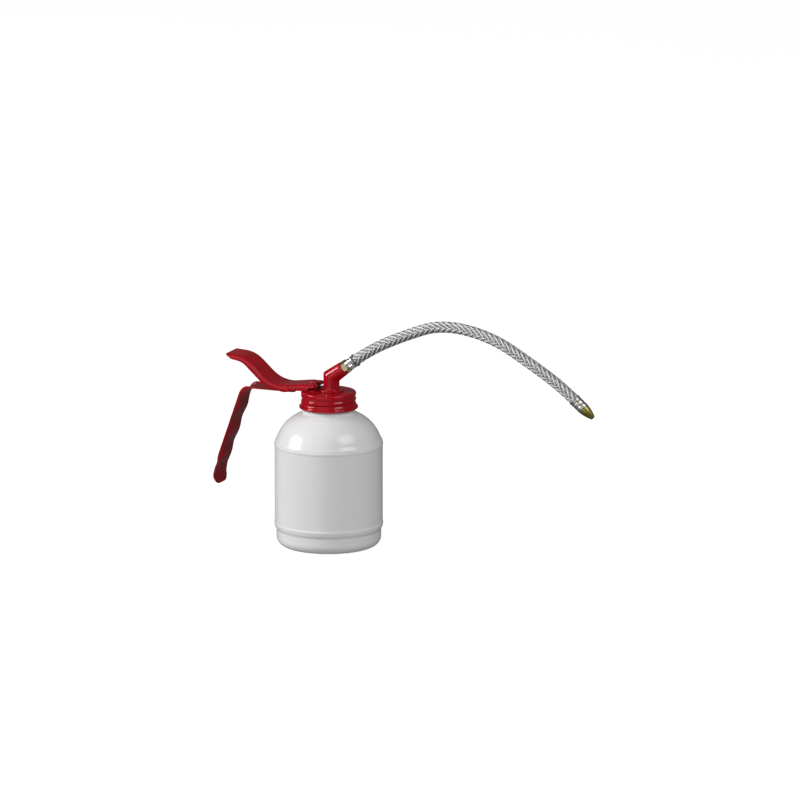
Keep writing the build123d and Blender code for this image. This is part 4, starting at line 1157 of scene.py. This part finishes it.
def read_line(line):
    """Points of a spline, as a mesh of its line gives them."""
    bpy.context.view_layer.update()
    data = bpy.data.meshes.new_from_object(line.evaluated_get(bpy.context.evaluated_depsgraph_get()))
    points = [vertex.co.copy() for vertex in data.vertices]
    bpy.data.meshes.remove(data)
    return points


class Tree(Writer):
    """A Geometry Nodes tree while it is being made."""

    def __init__(self, name, inputs):
        super().__init__(bpy.data.node_groups.new(name, "GeometryNodeTree"))
        self.tree.is_modifier = True
        self.inputs = {}
        for way in ("OUTPUT", "INPUT"):
            self.tree.interface.new_socket("Geometry", in_out=way, socket_type="NodeSocketGeometry")
        for label, (kind, value) in inputs.items():
            socket = self.tree.interface.new_socket(label, in_out="INPUT", socket_type=kind)
            self.inputs[socket.identifier] = value
        self.start = self.tree.nodes.new("NodeGroupInput")
        self.end = self.tree.nodes.new("NodeGroupOutput")

    def given(self, label):
        return Signal(self, self.start.outputs[label])

    def scaled(self, direction, factor):
        return self.node("ShaderNodeVectorMath", {"operation": "SCALE"}, {0: direction, "Scale": factor})

    def store(self, kind, domain, geometry, name, value):
        settings = {"data_type": kind, "domain": domain}
        values = {"Geometry": geometry, "Name": name, "Value": value}
        return self.node("GeometryNodeStoreNamedAttribute", settings, values)

    def apply(self, piece, geometry):
        self.tree.links.new(geometry.socket, self.end.inputs[0])
        modifier = piece.modifiers.new("nodes", "NODES")
        modifier.node_group = self.tree
        for identifier, value in self.inputs.items():
            modifier[identifier] = value
        return plain_mesh(piece)


def braid_tree(name, way, sizes, length, finish):
    """Bands that wind one way round the route and pass over and under the bands that wind the other way."""
    tree = Tree(name, {
        "Bands": ("NodeSocketInt", sizes.bands),
        "Turns": ("NodeSocketFloat", length / sizes.lay),
        "Radius": ("NodeSocketFloat", BRAID_FLOOR_R * MM),
        "Wire Height": ("NodeSocketFloat", WIRE_HEIGHT * MM),
        "Half Angle": ("NodeSocketFloat", sizes.band_width / 2 / (BRAID_MID_R * MM)),
        "Weave": ("NodeSocketFloat", sizes.weave),
        "Phase": ("NodeSocketFloat", BRAID_PHASE),
        "Rows": ("NodeSocketInt", round(length / sizes.lay * sizes.bands * 2 * 4)),
        "Columns": ("NodeSocketInt", 4 * sizes.wires + 1),
        "Material": ("NodeSocketMaterial", finish),
    })
    route = tree.node("GeometryNodeMeshToCurve", None, [tree.given("Geometry")])
    rows, columns = tree.given("Rows"), tree.given("Columns")
    size = {"Size X": 1.0, "Size Y": 2.0, "Vertices X": rows, "Vertices Y": columns}
    flat = tree.node("GeometryNodeGeometryToInstance", None, [tree.node("GeometryNodeMeshGrid", None, size)])
    count = tree.given("Bands")
    amount = {"Geometry": flat, "Amount": count}
    copies = tree.node("GeometryNodeDuplicateElements", {"domain": "INSTANCE"}, amount)
    numbered = tree.store("INT", "INSTANCE", copies, "band", copies.other("Duplicate Index"))
    bands = tree.node("GeometryNodeRealizeInstances", None, [numbered])
    band = tree.node("GeometryNodeInputNamedAttribute", {"data_type": "INT"}, {"Name": "band"})
    place = tree.node("ShaderNodeSeparateXYZ", None, [tree.node("GeometryNodeInputPosition")])
    along = place + 0.5
    across = place.other("Y")
    wound = along * tree.given("Turns")
    turned = wound * way + band / count + tree.given("Phase")
    angle = turned * (2 * math.pi) + across * tree.given("Half Angle")
    crossings = wound * (2.0 * way) * count + band * 2.0
    over = (crossings - (sizes.floats - 1) / 2) * (math.pi / sizes.floats)
    swing = over.math("COSINE", over) * (2.4 * way)
    clamped = swing.math("MAXIMUM", swing.math("MINIMUM", swing, 1.0), -1.0)
    crown = across * across * (-0.2 * MM)
    arch = (across * 0.5 + 0.5) * (sizes.wires * math.pi)
    wire = arch.math("ABSOLUTE", arch.math("SINE", arch)) * tree.given("Wire Height")
    radius = tree.given("Radius") + clamped * tree.given("Weave") + crown + wire
    settings = {"mode": "FACTOR", "use_all_curves": True}
    sample = tree.node("GeometryNodeSampleCurve", settings, {"Curves": route, "Factor": along}, "Position")
    side = (0.0, 1.0, 0.0)
    up = tree.vector("NORMALIZE", tree.vector("CROSS_PRODUCT", sample.other("Tangent"), side))
    cosine = tree.scaled(side, angle.math("COSINE", angle) * radius)
    sine = tree.scaled(up, angle.math("SINE", angle) * radius)
    target = tree.vector("ADD", sample, tree.vector("ADD", cosine, sine))
    run = tree.node("ShaderNodeCombineXYZ", None, {"X": across * 0.5 + 0.5, "Y": along * (length / 0.01)})
    mapped = tree.store("FLOAT2", "CORNER", bands, "wires", run)
    shaped = tree.node("GeometryNodeSetPosition", None, {"Geometry": mapped, "Position": target})
    smooth = tree.node("GeometryNodeSetShadeSmooth", None, {"Geometry": shaped, "Shade Smooth": True})
    real = tree.node("GeometryNodeRealizeInstances", None, [smooth])
    look = tree.given("Material")
    return tree, tree.node("GeometryNodeSetMaterial", None, {"Geometry": real, "Material": look})


class OILCAN_OT_hose(Builder, bpy.types.Operator):
    """Braided spout: dark liner, wire bands woven over and under, wound along the route"""

    bl_idname = "oil_can.hose"
    bl_label = "Braided Spout"

    def build(self, context):
        sizes = context.scene.oil_can_braid
        colours = context.scene.oil_can_colours
        line = route_curve(HOSE_ROUTE, "spout_route")
        points = read_line(line)
        length = sum((b - a).length for a, b in zip(points, points[1:]))
        finish = material("braid_wire", braid_wire, tuple(colours.braid), sizes.wires)
        pieces = []
        for name, way in (("braid_right", 1.0), ("braid_left", -1.0)):
            data = bpy.data.meshes.new(name)
            data.from_pydata(points, [(k, k + 1) for k in range(len(points) - 1)], [])
            strand = link_object(name, data)
            tree, geometry = braid_tree(name, way, sizes, length, finish)
            tree.apply(strand, geometry)
            self.thicken(strand, finish)
            pieces.append(strand)
        bpy.data.objects.remove(line)
        look = ("hose_rubber", (0.012, 0.012, 0.013), (0.035, 0.034, 0.033), 0.5, 900, 0.00003)
        core = self.core(points, material("hose_rubber", soft_part, *look))
        braid, other = pieces
        settle(braid, "head", ["hose_braid"])
        settle(other, "head", [])
        settle(core, "head", ["hose_liner"])

    def thicken(self, strand, finish):
        sheet = strand.modifiers.new("wall", "SOLIDIFY")
        sheet.thickness = BRAID_SHEET * MM
        sheet.offset = -1
        plain_mesh(strand)
        strand.data.set_sharp_from_angle(angle=math.radians(60))
        strand.data.materials.clear()
        strand.data.materials.append(finish)

    def core(self, points, rubber):
        """Liner under the braid, carried on straight into both ferrules."""
        head = [Vector(points[0]) - BARREL_DIR * (reach * MM) for reach in (7.2, 3.6)]
        tail = [Vector(points[-1]) + END_DIR * (reach * MM) for reach in (3.6, 10.7)]
        path = head + [Vector(point) for point in points] + tail
        rings = []
        for index, point in enumerate(path):
            before, after = path[max(index - 1, 0)], path[min(index + 1, len(path) - 1)]
            across = lying_on(point / MM, after - before)
            inside = 0 < index - 1 and index < len(path) - 2
            radius = CORE_R if inside else LINER_R
            rings.append(moved(turned_rings([(radius, 0)], 32), across)[0])
        core = link_object("hose_core", mesh_data("hose_core", rings_mesh(rings)))
        finish_mesh(core.data, rubber, 40)
        return core


# ---------------------------------------------------------------- CAD pieces that stay
class OILCAN_OT_pump(Builder, bpy.types.Operator):
    """Finishes on the pump's own pieces, inside the bottle and under the lever"""

    bl_idname = "oil_can.pump"
    bl_label = "Pump Finishes"

    def build(self, context):
        upright = (0.0, 0.0, 1.0)
        zinc = plated_metal("cast_zinc", (0.50, 0.51, 0.52), (0.40, 0.41, 0.42), 0.42, upright, 0.000004)
        steel = plated_metal("pump_steel", (0.60, 0.60, 0.59), (0.50, 0.50, 0.50), 0.28, upright)
        passive = plated_metal("pump_yellow_zinc", (0.72, 0.62, 0.34), (0.55, 0.56, 0.36), 0.3, upright)
        # Gland nut's steel made near black: partly its own dark steel, partly painted shade for the lever's
        # dark front opening.
        shaded_gland_steel = plated_metal("blackened_steel", (0.07, 0.06, 0.06), (0.10, 0.07, 0.06), 0.4, upright)
        rubber = soft_part("black_rubber", (0.015, 0.015, 0.015), (0.04, 0.04, 0.04), 0.55, 1200, 0.00002)
        leather = soft_part("cup_leather", (0.20, 0.09, 0.035), (0.30, 0.15, 0.06), 0.6, 1600, 0.00005)
        tube = soft_part("suction_plastic", (0.62, 0.64, 0.64), (0.70, 0.72, 0.72), 0.35, 500, 0.00001)
        finishes = {
            zinc: ("pump_body", "inlet_valve_body"),
            steel: ("pump_cylinder", "cup_washer", "piston_nut", "return_spring", "inlet_ball", "outlet_ball",
                    "ball_stop_pin", "outlet_spring"),
            passive: ("piston",),
            shaded_gland_steel: ("gland_nut",),
            rubber: ("lid_gasket", "rod_seal", "elbow_seal"),
            leather: ("cup_seal",),
            tube: ("suction_tube",),
            enamel(): ("handle_rivets", "pivot_rivets"),
            rod_finish(): ("piston_rod",),
        }
        for finish, nodes in finishes.items():
            for node in nodes:
                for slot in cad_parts[node].material_slots:
                    slot.material = finish


# ---------------------------------------------------------------- stage
class OILCAN_OT_stage(Builder, bpy.types.Operator):
    """Pale floor, soft light and the camera"""

    bl_idname = "oil_can.stage"
    bl_label = "Stage"

    def build(self, context):
        scene = context.scene
        stage = scene.oil_can_stage
        paint = Paint("pale_floor")
        cloud = paint.noise(3, 2)
        base = paint.mix(cloud, (0.30, 0.30, 0.30), (0.32, 0.32, 0.32))
        floor_finish = paint.surface(
            Base_Color=base, Roughness=0.9, Specular_IOR_Level=0.0, Emission_Color=(1, 1, 1, 1),
            Emission_Strength=FLOOR_GLOW,
        )
        data = bpy.data.meshes.new("floor")
        corners = [(x * FLOOR_REACH, y * FLOOR_REACH, 0) for x, y in ((-1, -1), (1, -1), (1, 1), (-1, 1))]
        data.from_pydata(corners, [], [(0, 1, 2, 3)])
        data.materials.append(floor_finish)
        floor = link_object("floor", data)
        floor.visible_diffuse = False
        floor.visible_glossy = False
        front = stage.azimuth - math.pi / 2
        self.room(front, stage.sky)
        self.softbox("key", front - math.radians(84), 24, (1.0, 0.9), stage.key_power)
        self.softbox("side", front + math.radians(50), 44, (1.3, 1.0), stage.side_power)
        self.softbox("front", front - math.radians(30), 14, (2.4, 2.4), stage.top_power)
        self.camera(stage)
        scene.view_settings.view_transform = "Standard"

    def room(self, front, brightness):
        """Even light from all round, a little brighter on the camera's side."""
        world = bpy.data.worlds.new("studio")
        world.use_nodes = True
        writer = Writer(world.node_tree)
        direction = writer.node("ShaderNodeTexCoord", output="Generated")
        facing = (math.cos(front), math.sin(front), 0.1)
        toward = writer.vector("DOT_PRODUCT", direction, facing, output="Value")
        lit = [toward, -0.7, 0.9, 0.7 * brightness, 1.5 * brightness]
        glossy = [writer.node("ShaderNodeLightPath", output="Is Glossy Ray"), 0, 1, 1.1, 0.5]
        level, seen = (writer.node("ShaderNodeMapRange", None, values) for values in (lit, glossy))
        background = world.node_tree.nodes["Background"]
        world.node_tree.links.new((level * seen).socket, background.inputs["Strength"])
        background.inputs["Color"].default_value = (1, 1, 1, 1)
        bpy.context.scene.world = world

    def softbox(self, name, azimuth, height_deg, size, power):
        light = bpy.data.lights.new(name, "AREA")
        light.shape = "RECTANGLE"
        light.size, light.size_y = size
        light.energy = power
        lamp = link_object(name, light)
        height = math.radians(height_deg)
        flat = math.cos(height)
        reach = Vector((math.cos(azimuth) * flat, math.sin(azimuth) * flat, math.sin(height)))
        lamp.location = Vector(LAMP_AIM) + reach * LAMP_DISTANCE
        lamp.rotation_euler = (-reach).to_track_quat("-Z", "Y").to_euler()

    def camera(self, stage):
        sin_a, cos_a = math.sin(stage.azimuth), math.cos(stage.azimuth)
        sin_e, cos_e = math.sin(stage.elevation), math.cos(stage.elevation)
        back = Vector((sin_a * cos_e, -cos_a * cos_e, sin_e))
        right = Vector((cos_a, sin_a, 0))
        up = back.cross(right)
        view = bpy.data.cameras.new("camera")
        view.lens = stage.lens
        view.sensor_width = SENSOR_WIDTH
        distance = stage.view_width * stage.lens / view.sensor_width
        target = right * VIEW_RIGHT + up * VIEW_UP
        turn = Matrix((right, up, back)).transposed().to_4x4()
        camera = link_object("camera", view)
        camera.matrix_world = Matrix.Translation(target + back * distance) @ turn
        bpy.context.scene.camera = camera


# ---------------------------------------------------------------- add-on
OPERATORS = (
    OILCAN_OT_bottle, OILCAN_OT_lid, OILCAN_OT_handle, OILCAN_OT_lever, OILCAN_OT_elbow, OILCAN_OT_fittings,
    OILCAN_OT_hose, OILCAN_OT_pump, OILCAN_OT_stage,
)
SETTINGS = {"oil_can_colours": OilCanColours, "oil_can_braid": OilCanBraid, "oil_can_stage": OilCanStage}


class OILCAN_PT_panel(bpy.types.Panel):
    """Lists the can's pieces and their settings"""

    bl_idname = "OILCAN_PT_panel"
    bl_label = "Oil Can"
    bl_space_type = "VIEW_3D"
    bl_region_type = "UI"
    bl_category = "Oil Can"

    def draw(self, context):
        column = self.layout.column()
        for operator in OPERATORS:
            column.operator(operator.bl_idname)
        for name, group in SETTINGS.items():
            settings = getattr(context.scene, name)
            for setting in group.__annotations__:
                column.prop(settings, setting)


def register():
    for group in (*SETTINGS.values(), *OPERATORS, OILCAN_PT_panel):
        bpy.utils.register_class(group)
    for name, group in SETTINGS.items():
        setattr(bpy.types.Scene, name, PointerProperty(type=group))


def unregister():
    for name in SETTINGS:
        delattr(bpy.types.Scene, name)
    for group in reversed((*SETTINGS.values(), *OPERATORS, OILCAN_PT_panel)):
        bpy.utils.unregister_class(group)


def main():
    register()
    for operator in OPERATORS:
        getattr(bpy.ops.oil_can, operator.bl_idname.split(".")[1])()


if __name__ == "__main__":
    main()
